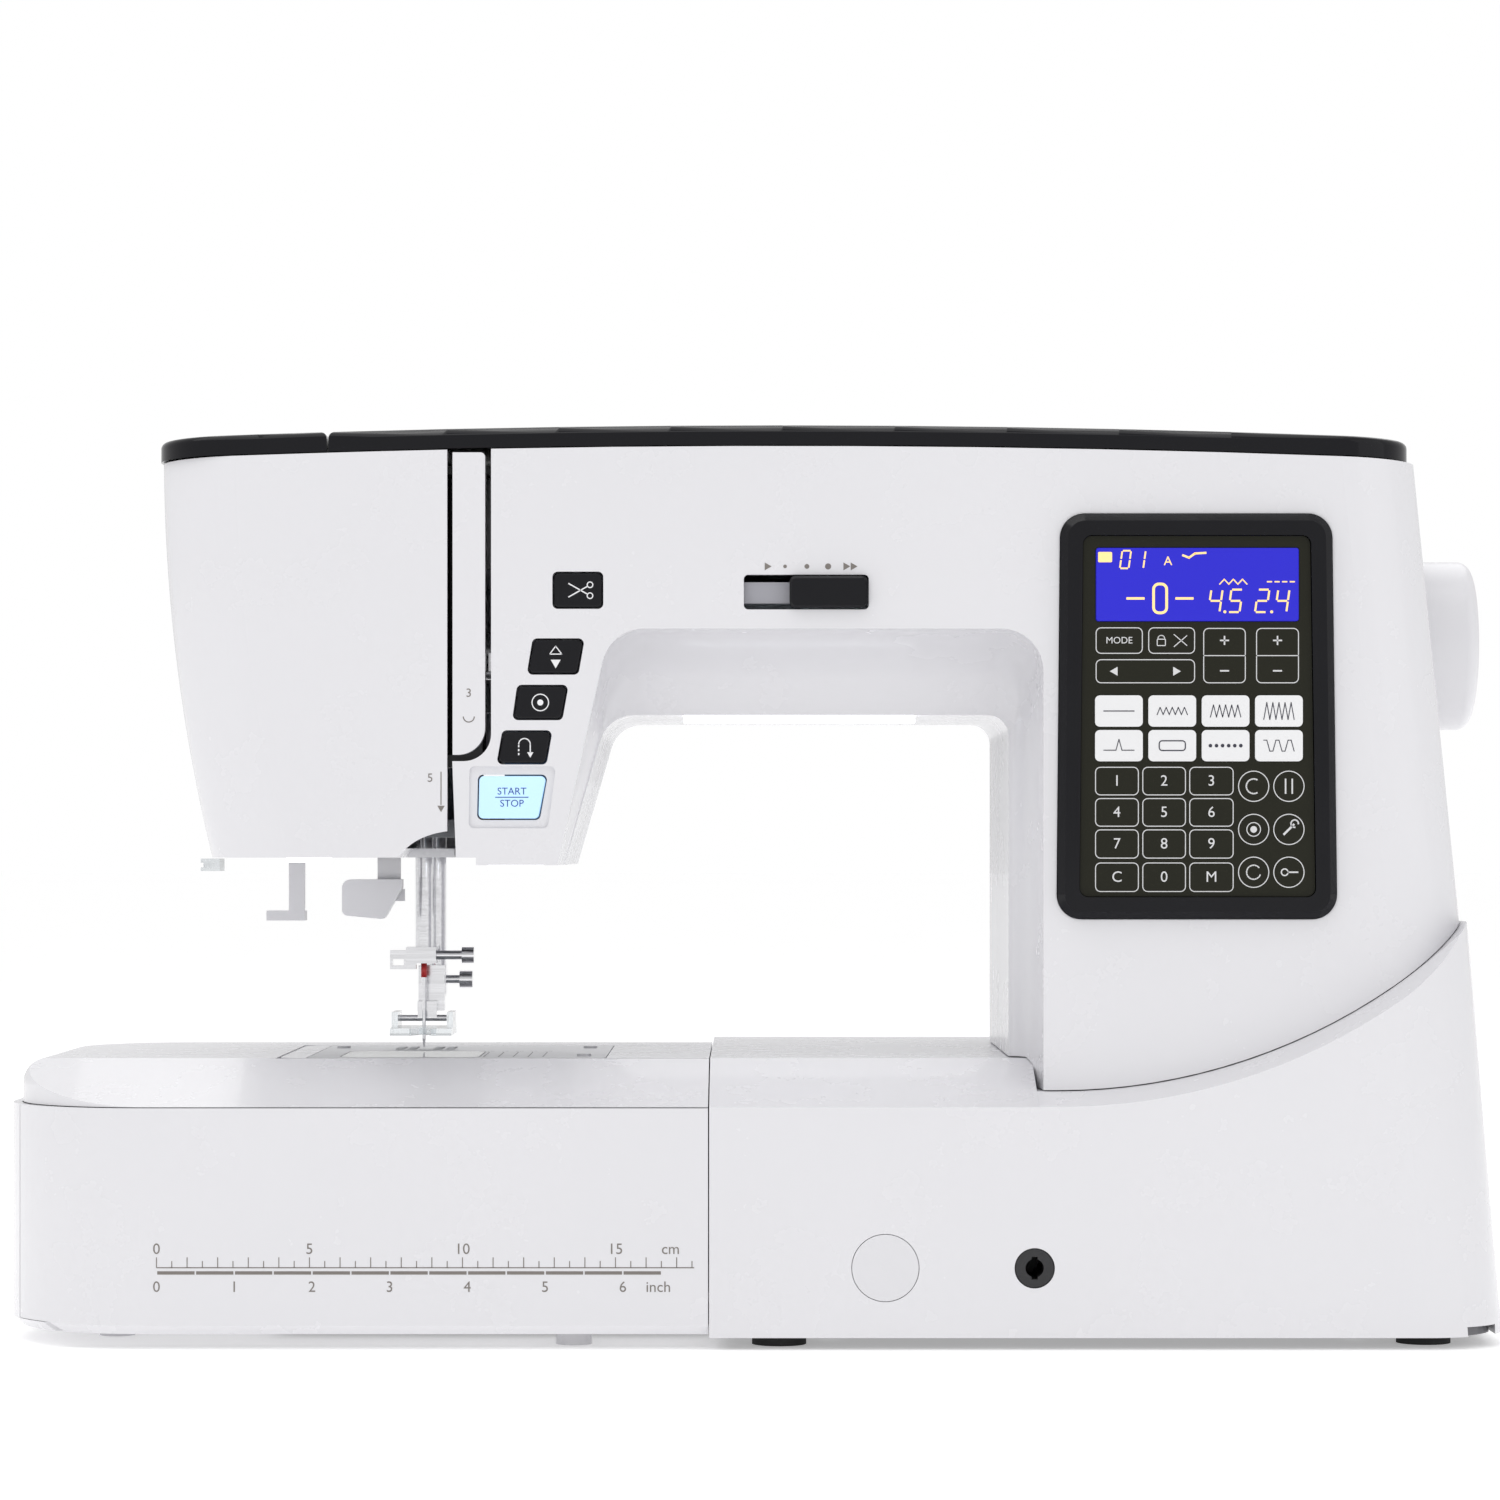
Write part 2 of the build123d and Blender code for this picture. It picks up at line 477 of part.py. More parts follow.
def handle_lugs():
    """Ears on the rear cover that hold the carrying handle."""
    y, z = HANDLE["y"], HANDLE["z"]
    return [box((x - 3, x + 3), (ARM_BACK - 0.5, y + 5), (z - 6, z + 6)) - rod_x(y, z, 2.55, x - 5, x + 5)
            for x in (-76, 76)]


def lid_lugs():
    """Ears on the rear cover that hold the lid's pins."""
    y, z = LID_HINGE["y"], LID_HINGE["z"]
    ears = []
    for start in LID_HINGE["x"]:
        for x in (start - 6.5, start + 6.5):
            ear = box((x - 2, x + 2), (ARM_BACK + 0.4, y + 2.5), (z - 16, z + 2.2))
            root = box((x - 2, x + 2), (ARM_BACK - 0.5, ARM_BACK + 0.5), (z - 16, z - 8))
            ears.append(ear + root - rod_x(y, z, 1.5, x - 5, x + 5))
    return ears


def lid_parts():
    def slab(x_left, x_right):
        solid = along_y(arched(x_left, x_right, 280, LID), ARM_FRONT, ARM_BACK)
        return solid - along_y(arched(x_left - 1, x_right + 1, 270, SEAM), ARM_FRONT - 1, ARM_BACK + 1)
    def soften(solid, corner_x):
        upright = [e for e in solid.edges() if abs(e.tangent_at(0.5).Z) > 0.99 and abs(e.center().X - corner_x) < 1]
        solid = fillet(upright, 24.0)
        top_rim = [e for e in solid.edges() if e.center().Z > TOP + LID - 0.8 and
                   min(v.Z for v in e.vertices()) > TOP + LID - 0.8]
        return fillet(top_rim, 2.2)
    lid = slab(LID_LEFT, LID_RIGHT)
    lid = soften(lid, LID_RIGHT)
    lid -= along_y(arched(LID_LEFT + 3, LID_RIGHT - 24, 270, LID - 2.6), ARM_FRONT + 3, ARM_BACK - 3)
    y, z = LID_HINGE["y"], LID_HINGE["z"]
    for x in LID_HINGE["x"]:
        knuckle = rod_x(y, z, 2.5, x - 4, x + 4) + box((x - 4, x + 4), (ARM_BACK - 3, y), (z - 1.5, z + 1.5))
        lid += knuckle
        lid -= rod_x(y, z, 1.55, x - 5, x + 5)
        for side in (-6.5, 6.5):
            lid -= box((x + side - 2.4, x + side + 2.4), (ARM_BACK - 4.0, ARM_BACK + 1), (285, 310))
    node("lid", lid)
    cap = slab(-198.6, LID_LEFT - 0.6)
    node("head_cap", soften(cap, -198.6))
    outer = box((BAY["x"][0] + 0.3, BAY["x"][1] - 0.3), (BAY["y"][0] + 0.3, BAY["y"][1] - 0.3), (BAY["floor"], 291))
    inner = box((BAY["x"][0] + 2.8, BAY["x"][1] - 2.8), (BAY["y"][0] + 2.8, BAY["y"][1] - 2.8),
                (BAY["floor"] + 2.5, 300))
    deck = outer - inner
    deck -= rod_z(150, 20, 6.0, 240, 262)
    deck -= rod_z(-120, -40, 10.0, 240, 262)
    deck += rod_z(172, 20, 7.0, BAY["floor"] + 2.4, 270)
    node("top_deck", deck)
    spool = rod_x(0, 278, 3.0, -60, 60) + box((56, 62), (-8, 8), (BAY["floor"] + 2.5, 284))
    cap_disc = rod_x(0, 278, 11.0, -62, -58) + rod_x(0, 278, 6.0, -58.01, -50)
    cap_disc -= rod_x(0, 278, 3.0, -70, -40)
    guides = []
    for x, y in ((-100, -50), (-70, -56), (118, -52)):
        guides.append(rod_z(x, y, 3.0, BAY["floor"] + 2.5, 270) + rod_z(x, y, 5.0, 270, 272))
    node("spool_pin", spool, cap_disc, *guides)
    winder = rod_z(150, 20, 3.0, 250, 286) + rod_z(150, 20, 7.0, 263, 265)
    node("bobbin_winder_spindle", winder)
    dial = rod_z(-120, -40, 9.6, 256, 268)
    dial -= box((-121, -119), (-51, -44), (266, 270))
    node("pressure_dial", dial)


def panel_parts():
    proud = ARM_FRONT - 3.4
    frame = along_y(panel_face(), proud, ARM_FRONT + 4)
    rim = [e for e in frame.edges() if abs(e.center().Y - proud) < 0.05]
    frame = chamfer(rim, 2.4)
    frame -= along_y(panel_face(-7.2, 3.0), proud - 1, ARM_FRONT + 10)
    node("panel_bezel", frame)
    pad = along_y(panel_face(-7.4, 2.8), ARM_FRONT - 2.2, ARM_FRONT + 2)
    window = rounded_y((112.3, 178.9), (238.9, 262.9), 0.8, (ARM_FRONT - 2.6, ARM_FRONT + 1))
    pad -= rounded_y((112.1, 179.1), (238.7, 263.1), 0.9, (ARM_FRONT - 5, ARM_FRONT + 5))
    node("keypad_panel", pad)
    node("lcd_window", window)
    keys = []
    for row in range(2):
        for column in range(4):
            x0 = 111.9 + column * 17.55
            z1 = 214.4 - row * 11.4
            keys.append(rounded_y((x0, x0 + 15.7), (z1 - 10.3, z1), 1.6, (ARM_FRONT - 2.7, ARM_FRONT - 2.2)))
    node("pattern_keys", *keys)


# ---- frame and drive ----
LOWER_SHAFT = dict(y=-4.0, z=57.0)
MOTOR = dict(x=(150.0, 205.0), y=44.0, z=150.0, r=22.0)
BUSHES = []


def frame_parts():
    column = box((118, 196), (-36, 20), (30, 212))
    column -= box((124, 190), (-30, 21), (36, 206))
    foot = box((-2, 214), (-60, 60), (FOOT + 2.8, 30)) - box((4, 208), (-54, 54), (12, 31))
    foot -= box((78, 110), (-61, -50), (0, 40))
    arm = box((-84, 204), (-34, 30), (212, 250)) - box((-85, 205), (-28, 24), (218, 251))
    for x in (-78, 70, 195):
        arm += box((x - 4, x + 4), (-30, 26), (216, 250)) - rod_x(WHEEL["y"], SHAFT_Z, SHAFT_R + 3, x - 5, x + 5)
    free = box((-150, 10), (18, 26), (50, 74)) + box((-152, -144), (-30, 26), (50, 74))
    free -= rod_x(LOWER_SHAFT["y"], LOWER_SHAFT["z"], 6.0, -160, 20)
    free = free + box((2, 10), (-24, 26), (12, 74)) - rod_x(LOWER_SHAFT["y"], LOWER_SHAFT["z"], 6.0, -160, 20)
    frame = column + foot + arm + free
    frame -= rod_x(LOWER_SHAFT["y"], LOWER_SHAFT["z"], 9.0, 110, 205)
    frame += box((140, 149), (19, 76), (120, 180)) - box((139, 150), (24, 64), (126, 174))
    frame += needle_bar_frame()
    node("frame_casting", frame)
    bushes = [rod_x(WHEEL["y"], SHAFT_Z, SHAFT_R + 3, x - 4, x + 4) - rod_x(WHEEL["y"], SHAFT_Z, SHAFT_R + 0.05,
              x - 5, x + 5) for x in (-78, 70, 195)]
    bushes += [rod_x(LOWER_SHAFT["y"], LOWER_SHAFT["z"], 6.0, x, x + 8) - rod_x(LOWER_SHAFT["y"],
               LOWER_SHAFT["z"], 4.05, x - 1, x + 9) for x in (-152, 2)]
    BUSHES.extend(bushes)
    shaft = rod_x(WHEEL["y"], SHAFT_Z, SHAFT_R, -98, 226.2)
    crank = rod_x(WHEEL["y"], SHAFT_Z, 13.0, -104, -98.01) + rod_x(WHEEL["y"] - 3.5, SHAFT_Z - 8, 2.5, -108, -103)
    wheel = rod_x(WHEEL["y"], SHAFT_Z, WHEEL["r"], 225.4, WIDTH_HALF)
    rim = [e for e in wheel.edges() if e.center().X > WIDTH_HALF - 0.1]
    wheel = fillet(rim, 4.5)
    back = [e for e in wheel.edges() if e.center().X < 225.6]
    wheel = fillet(back, 2.0)
    wheel -= rod_x(WHEEL["y"], SHAFT_Z, SHAFT_R, 220, 226.2)
    node("handwheel", wheel)
    pulley_x = (206.5, 214.5)
    timing = rod_x(WHEEL["y"], SHAFT_Z, 20.0, *pulley_x) - rod_x(WHEEL["y"], SHAFT_Z, SHAFT_R, 200, 220)
    upper_pulley = rod_x(WHEEL["y"], SHAFT_Z, 13.4, 84, 92) - rod_x(WHEEL["y"], SHAFT_Z, SHAFT_R, 80, 95)
    node("main_shaft", shaft, crank, timing, upper_pulley)
    lower = rod_x(LOWER_SHAFT["y"], LOWER_SHAFT["z"], 4.0, -156, 112)
    worm = rod_x(LOWER_SHAFT["y"], LOWER_SHAFT["z"], 6.5, -126, -106) - rod_x(
        LOWER_SHAFT["y"], LOWER_SHAFT["z"], 4.0, -160, -90)
    wheel_low = rod_x(LOWER_SHAFT["y"], LOWER_SHAFT["z"], 12.0, 98, 106) - rod_x(
        LOWER_SHAFT["y"], LOWER_SHAFT["z"], 4.0, 90, 110)
    node("lower_shaft", lower, worm, wheel_low)
    motor = rod_x(MOTOR["y"], MOTOR["z"], MOTOR["r"], *MOTOR["x"])
    motor -= rod_x(MOTOR["y"], MOTOR["z"], 3.2, 185, 206)
    node("motor", motor)
    pinion = rod_x(MOTOR["y"], MOTOR["z"], 3.1, 186, 206.2) + rod_x(MOTOR["y"], MOTOR["z"], 7.0, 206.3, 214.5)
    pinion += rod_x(MOTOR["y"], MOTOR["z"], 3.1, 206, 206.5)
    node("motor_pulley", pinion)


# ---- head mechanism ----
NEEDLE_TIP = BED + 0.9


HINGES = {
    "presser_lever": (-92.0, 42.0, 173.0),
    "take_up": (-93.0, -30.0, 226.0),
}


def needle_bar_frame():
    """Casting in the head with the bearings of the two upright bars."""
    plate = box((-140, -98.5), (24, 28), (168, 220)) + box((-128, -98.5), (-14, 24.5), (212, 220))
    plate += box((-128, -98.5), (-14, 24.5), (168, 174)) + box((-100, -83), (8, 28), (212, 222))
    for x, y, r in ((NEEDLE_X, NEEDLE_Y, 3.05), (PRESSER_X, PRESSER_Y, 3.55)):
        plate -= rod_z(x, y, r, 150, 230)
    return plate


def head_parts():
    bar = rod_z(NEEDLE_X, NEEDLE_Y, 3.0, 129.6, 222)
    bar += box((NEEDLE_X - 4, NEEDLE_X + 4), (NEEDLE_Y - 5, NEEDLE_Y + 5), (186.5, 192.5))
    node("needle_bar", bar)
    clamp = box((-121.7, -111.2), (-8.0, 1.6), (124.0, 129.6))
    rail = box((-127.3, -118.2), (-7.0, -3.2), (121.9, 128.5)) - box((-126.4, -122.5), (-8, 0), (123.2, 125.4))
    clamp = clamp + rail - rod_z(NEEDLE_X, NEEDLE_Y, 0.9, 120, 126.5)
    screw = rod_x(NEEDLE_Y, 126.8, 1.6, -111.2, -102.4) + rod_x(NEEDLE_Y, 126.8, 2.8, -102.4, -98.2)
    node("needle_clamp", clamp, screw)
    needle = rod_z(NEEDLE_X, NEEDLE_Y, 0.9, 116, 126.5) + rod_z(NEEDLE_X, NEEDLE_Y, 0.6, NEEDLE_TIP + 3, 116)
    needle += Pos(NEEDLE_X, NEEDLE_Y, NEEDLE_TIP + 1.5) * Cone(0.15, 0.6, 3.0)
    node("needle", needle)
    presser = rod_z(PRESSER_X, PRESSER_Y, 3.5, 112, 224)
    node("presser_bar", presser)
    ankle = box((-118.2, -109.0), (4.5, 8.5), (107.0, 123)) + box((-116.5, -108.8), (8.5, 16), (113, 123))
    ankle -= rod_z(PRESSER_X, PRESSER_Y, 3.5, 112, 130)
    ankle += box((-118.2, -111.5), (-0.5, 4.5), (107.0, 110.5))
    sole = box((-126.6, -105.2), (-17, 13), (99.1, 101.6))
    sole += box((-126.6, -124.4), (-9, 9), (101.6, 107.0)) + box((-107.4, -105.2), (-9, 9), (101.6, 107.0))
    sole -= box((-120.3, -111.1), (-6, -0.5), (90, 110))
    wedge = make_face(Polyline((-119.5, -18), (-112, -18), (NEEDLE_X, -8), close=True))
    sole -= along_z(wedge, 90, 110)
    node("presser_foot", sole)
    pivot = rod_x(2.0, 104.6, 1.1, -124.4, -107.4) + box((-118.2, -111.5), (0.8, 3.2), (104.6, 106.95))
    foot_screw = rod_x(10.5, 118.0, 1.5, -108.8, -104.0) + rod_x(10.5, 118.0, 3.0, -104.0, -99.5)
    node("foot_holder", ankle, pivot, foot_screw)
    threader = along_y(outline((-142.6, 153.4, 3), (-142.6, 141.0, 2), (-128.0, 139.6, 2), (-121.8, 150.5),
                               (-121.8, 153.4)), -24.0, -17.0)
    threader += box((-130.5, -122.5), (-21, -19.5), (153, 184))
    node("needle_threader", threader, box((-129.6, -121.4), (-16.95, -15.4), (145.8, 150.0)))
    lever = box((-162.0, -156.5), (-13, -10.5), (139.5, 182)) + box((-169.8, -156.5), (-13, -4), (139.0, 142.4))
    node("buttonhole_lever", lever)
    cutter = box((-188.0, -181.5), (-52, -38), (156.4, 160.6)) - box((-189, -184), (-54, -44), (157.6, 159.2))
    node("thread_cutter", cutter)
    hx, hy, hz = HINGES["presser_lever"]
    arm = rod_x(hy, hz, 5, hx - 3, hx + 3) + box((hx - 3, hx + 3), (hy, hy + 38), (hz - 3, hz + 3))
    arm = fillet([e for e in arm.edges() if e.center().Y > hy + 37.9 and abs(e.tangent_at(0.5).X) > 0.9], 2.5)
    node("presser_lever", arm - rod_x(hy, hz, 2.05, hx - 4, hx + 4))
    lever_pin = rod_x(hy, hz, 2.0, hx - 9, hx + 9)
    hx, hy, hz = HINGES["take_up"]
    take_up = rod_x(hy, hz, 4, hx - 2, hx + 4.3) + box((hx + 4.3, hx + 5.6), (hy - 52, hy + 4), (hz - 3, hz + 3))
    take_up -= rod_x(hy - 47, hz, 1.2, -100, -80)
    node("take_up_lever", take_up - rod_x(hy, hz, 1.55, hx - 4, hx + 6))
    lid_pins = [rod_x(LID_HINGE["y"], LID_HINGE["z"], 1.5, x - 8.4, x + 8.4) for x in LID_HINGE["x"]]
    node("bushes_and_pins", rod_x(hy, hz, 1.5, hx - 3, hx + 9), lever_pin, *lid_pins, *BUSHES)


def handle_parts():
    y, z = HANDLE["y"], HANDLE["z"]
    grip = box((-72, 72), (y - 4, y + 6), (z - 48, z - 34))
    grip = rib_round(grip, lambda e: abs(e.tangent_at(0.5).X) > 0.9, lambda c: True, 3.5)
    arms = [box((x - 4, x + 4), (y - 3.4, y + 4.6), (z - 38, z + 3.6)) for x in (-68, 68)]
    node("carry_handle", grip + arms[0] + arms[1] + rod_x(y, z, 2.5, -79, -70) + rod_x(y, z, 2.5, 70, 79))


def screw(x, y, z, direction):
    """Pan-head screw whose head stands on the face that points in a direction."""
    plane = Plane(origin=(x, y, z), z_dir=direction)
    head = extrude(plane * Circle(3.2), 1.6) - extrude(plane * Rectangle(4.2, 0.9), 1.7)
    return head + extrude(plane * Circle(1.5), -6)


def fastener_parts():
    pan = [screw(x, y, FOOT, (0, 0, -1)) for x in (25, 200) for y in (-76, 76)]
    rear = [screw(x, ARM_BACK, z, (0, 1, 0)) for x, z in ((-150, 270), (-150, 190), (20, 226), (90, 232))]
    spots = [(PLATE["x"][0] + 6, 12), (PLATE["x"][1] - 8, -50), (PLATE["x"][1] - 8, 12)]
    plate = [rod_z(x, y, 2.4, BED, BED + 0.7) - box((x - 2, x + 2), (y - 0.4, y + 0.4), (BED + 0.3, 99))
             for x, y in spots]
    node("cover_screws", *pan, *rear, *plate)


for build in (base_parts, bed_parts, table_parts, arm_parts, lid_parts, panel_parts, frame_parts, head_parts,
              handle_parts, fastener_parts):
    build()
for name, shape in NODES.items():
    export_step(shape, f"parts/{name}.step")
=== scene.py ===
"""Looks of a computerised sewing machine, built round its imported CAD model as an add-on."""
import math

import bmesh
import bpy
from mathutils import Matrix, Vector


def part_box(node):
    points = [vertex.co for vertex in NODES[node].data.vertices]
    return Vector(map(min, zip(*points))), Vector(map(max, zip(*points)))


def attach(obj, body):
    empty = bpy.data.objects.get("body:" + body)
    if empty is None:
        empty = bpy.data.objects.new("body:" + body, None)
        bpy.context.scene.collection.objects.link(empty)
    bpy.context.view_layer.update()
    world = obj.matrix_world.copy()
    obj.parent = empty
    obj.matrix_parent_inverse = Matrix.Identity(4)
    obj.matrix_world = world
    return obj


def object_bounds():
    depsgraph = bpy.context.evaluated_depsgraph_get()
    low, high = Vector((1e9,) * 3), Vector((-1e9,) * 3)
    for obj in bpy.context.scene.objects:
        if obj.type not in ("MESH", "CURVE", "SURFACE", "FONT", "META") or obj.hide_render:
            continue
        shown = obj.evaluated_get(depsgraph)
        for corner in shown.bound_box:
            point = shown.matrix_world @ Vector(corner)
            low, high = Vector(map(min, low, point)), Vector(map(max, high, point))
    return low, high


bl_info = {
    "name": "Sewing Machine Looks",
    "version": (1, 0, 0),
    "blender": (4, 5, 0),
    "location": "View3D > Sidebar > Sewing",
    "description": "Finishes, printed marks, keys, lamps and the stage of a sewing machine",
    "category": "Object",
}

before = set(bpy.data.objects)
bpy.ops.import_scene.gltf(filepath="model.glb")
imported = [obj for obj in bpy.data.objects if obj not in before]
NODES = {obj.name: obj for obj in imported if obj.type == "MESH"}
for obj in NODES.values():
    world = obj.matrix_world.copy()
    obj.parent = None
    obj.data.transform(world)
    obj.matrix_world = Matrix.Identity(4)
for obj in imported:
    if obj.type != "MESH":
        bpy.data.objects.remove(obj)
CAD_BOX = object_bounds()
MM = 0.001
FLOAT = "NodeSocketFloat"
COLOR = "NodeSocketColor"


# ---- node groups ----
def new_group(name, inputs, outputs):
    """An empty shader node group with named sockets, and its two end nodes."""
    group = bpy.data.node_groups.new(name, "ShaderNodeTree")
    for label, kind, value in inputs:
        group.interface.new_socket(label, in_out="INPUT", socket_type=kind).default_value = value
    for label, kind in outputs:
        group.interface.new_socket(label, in_out="OUTPUT", socket_type=kind)
    start = group.nodes.new("NodeGroupInput")
    end = group.nodes.new("NodeGroupOutput")
    return group, start, end


def add(tree, kind, settings=None, **inputs):
    """A node with its settings and input values; an input may be another node's output."""
    node = tree.nodes.new(kind)
    for key, value in (settings or {}).items():
        setattr(node, key, value)
    for label, value in inputs.items():
        numbered = label[0] == "i" and label[1:].isdigit()
        socket = node.inputs[int(label[1:]) if numbered else label]
        if isinstance(value, bpy.types.NodeSocket):
            tree.links.new(value, socket)
        else:
            socket.default_value = value
    return node


def noise(tree, coordinates, scale, detail=3.0, roughness=0.5):
    node = add(tree, "ShaderNodeTexNoise", Vector=coordinates, Scale=scale, Detail=detail,
               Roughness=roughness)
    return node.outputs["Fac"]


def span(tree, value, low, high, to_low=0.0, to_high=1.0):
    """Maps a value's range to another."""
    node = add(tree, "ShaderNodeMapRange", i0=value, i1=low, i2=high, i3=to_low, i4=to_high)
    return node.outputs["Result"]


def maths(tree, operation, first, second=0.0, third=0.5):
    settings = {"operation": operation}
    return add(tree, "ShaderNodeMath", settings, i0=first, i1=second, i2=third).outputs[0]


def mix_color(tree, factor, first, second, blend="MIX"):
    settings = {"data_type": "RGBA", "blend_type": blend}
    node = add(tree, "ShaderNodeMix", settings, i0=factor, i6=first, i7=second)
    return node.outputs[2]


def moulded_group():
    """Moulded plastic: slight colour drift, fine mould texture, handling smudges and settled dust."""
    group, start, end = new_group(
        "moulded_plastic",
        [("Color", COLOR, (0.8, 0.8, 0.8, 1)), ("Drift", FLOAT, 0.03), ("Roughness", FLOAT, 0.3),
         ("Smudge", FLOAT, 0.08), ("Grain Scale", FLOAT, 900.0), ("Grain", FLOAT, 0.2),
         ("Dust", FLOAT, 0.03)],
        [("Color", COLOR), ("Roughness", FLOAT), ("Height", FLOAT)])
    where = add(group, "ShaderNodeTexCoord").outputs["Object"]
    drift = span(group, noise(group, where, 9.0), 0.35, 0.65, -1.0, 1.0)
    level = maths(group, "MULTIPLY_ADD", drift, start.outputs["Drift"], 1.0)
    toned = mix_color(group, 1.0, start.outputs["Color"], level, "MULTIPLY")
    up = add(group, "ShaderNodeSeparateXYZ", Vector=add(group, "ShaderNodeNewGeometry").outputs["Normal"])
    level_top = span(group, up.outputs["Z"], 0.6, 1.0)
    settled = maths(group, "MULTIPLY", level_top, noise(group, where, 260.0, 6.0, 0.7))
    dust = maths(group, "MULTIPLY", settled, start.outputs["Dust"])
    dusty = mix_color(group, dust, toned, (0.62, 0.6, 0.57, 1))
    smudge = span(group, noise(group, where, 34.0, 5.0, 0.6), 0.5, 0.72)
    handled = maths(group, "MULTIPLY", smudge, start.outputs["Smudge"])
    rough = maths(group, "ADD", start.outputs["Roughness"], handled)
    rough = maths(group, "ADD", rough, dust)
    grain = noise(group, where, start.outputs["Grain Scale"], 2.0)
    link = group.links.new
    link(dusty, end.inputs["Color"])
    link(rough, end.inputs["Roughness"])
    link(maths(group, "MULTIPLY", grain, start.outputs["Grain"]), end.inputs["Height"])
    return group


def brushed_group():
    """Brushed or plated metal: streaks along one direction, smudges and small pits."""
    group, start, end = new_group(
        "brushed_metal",
        [("Color", COLOR, (0.6, 0.6, 0.6, 1)), ("Roughness", FLOAT, 0.25), ("Streak", FLOAT, 0.1),
         ("Along", FLOAT, 0.02), ("Streak Scale", FLOAT, 1500.0), ("Depth", FLOAT, 0.2)],
        [("Color", COLOR), ("Roughness", FLOAT), ("Height", FLOAT)])
    where = add(group, "ShaderNodeTexCoord").outputs["Object"]
    axes = add(group, "ShaderNodeSeparateXYZ", Vector=where)
    drawn_out = maths(group, "MULTIPLY", axes.outputs["X"], start.outputs["Along"])
    squeezed = add(group, "ShaderNodeCombineXYZ", X=drawn_out, Y=axes.outputs["Y"], Z=axes.outputs["Z"])
    streak = noise(group, squeezed.outputs[0], start.outputs["Streak Scale"], 2.0, 0.6)
    cloud = noise(group, where, 60.0, 4.0)
    tone = span(group, streak, 0.3, 0.7, 0.86, 1.06)
    link = group.links.new
    link(mix_color(group, 1.0, start.outputs["Color"], tone, "MULTIPLY"), end.inputs["Color"])
    extra = maths(group, "MULTIPLY", maths(group, "ADD", streak, cloud), start.outputs["Streak"])
    link(maths(group, "ADD", start.outputs["Roughness"], extra), end.inputs["Roughness"])
    link(maths(group, "MULTIPLY", streak, start.outputs["Depth"]), end.inputs["Height"])
    return group


GROUPS = {}


def shared(name, maker):
    if name not in GROUPS:
        GROUPS[name] = maker()
    return GROUPS[name]


def new_material(name, group, values, bump=0.00004, **shader):
    """A Principled material fed by one of the shared groups."""
    material = bpy.data.materials.new(name)
    material.use_nodes = True
    tree = material.node_tree
    principled = tree.nodes["Principled BSDF"]
    surface = tree.nodes.new("ShaderNodeGroup")
    surface.node_tree = group
    for label, value in values.items():
        surface.inputs[label].default_value = value
    tree.links.new(surface.outputs["Color"], principled.inputs["Base Color"])
    tree.links.new(surface.outputs["Roughness"], principled.inputs["Roughness"])
    relief = add(tree, "ShaderNodeBump", Strength=0.6, Distance=bump, Height=surface.outputs["Height"])
    tree.links.new(relief.outputs["Normal"], principled.inputs["Normal"])
    for label, value in shader.items():
        principled.inputs[label.replace("_", " ")].default_value = value
    material.diffuse_color = (*tuple(values["Color"])[:3], 1)
    return material


def plastic(name, color, roughness=0.3, grain=0.2, scale=900.0, drift=0.02, smudge=0.06, dust=0.02, **shader):
    values = {"Color": (*color, 1), "Roughness": roughness, "Grain": grain, "Grain Scale": scale, "Drift": drift,
              "Smudge": smudge, "Dust": dust}
    return new_material(name, shared("moulded", moulded_group), values, **shader)


def metal(name, color, roughness=0.22, streak=0.1, along=0.02, scale=1500.0, depth=0.2, **shader):
    values = {"Color": (*color, 1), "Roughness": roughness, "Streak": streak, "Along": along, "Streak Scale": scale,
              "Depth": depth}
    return new_material(name, shared("brushed", brushed_group), values, Metallic=1.0, **shader)


# ---- piece makers ----
FACING = Matrix.Rotation(math.radians(90), 4, "X")     # turns a flat mark to face the operator


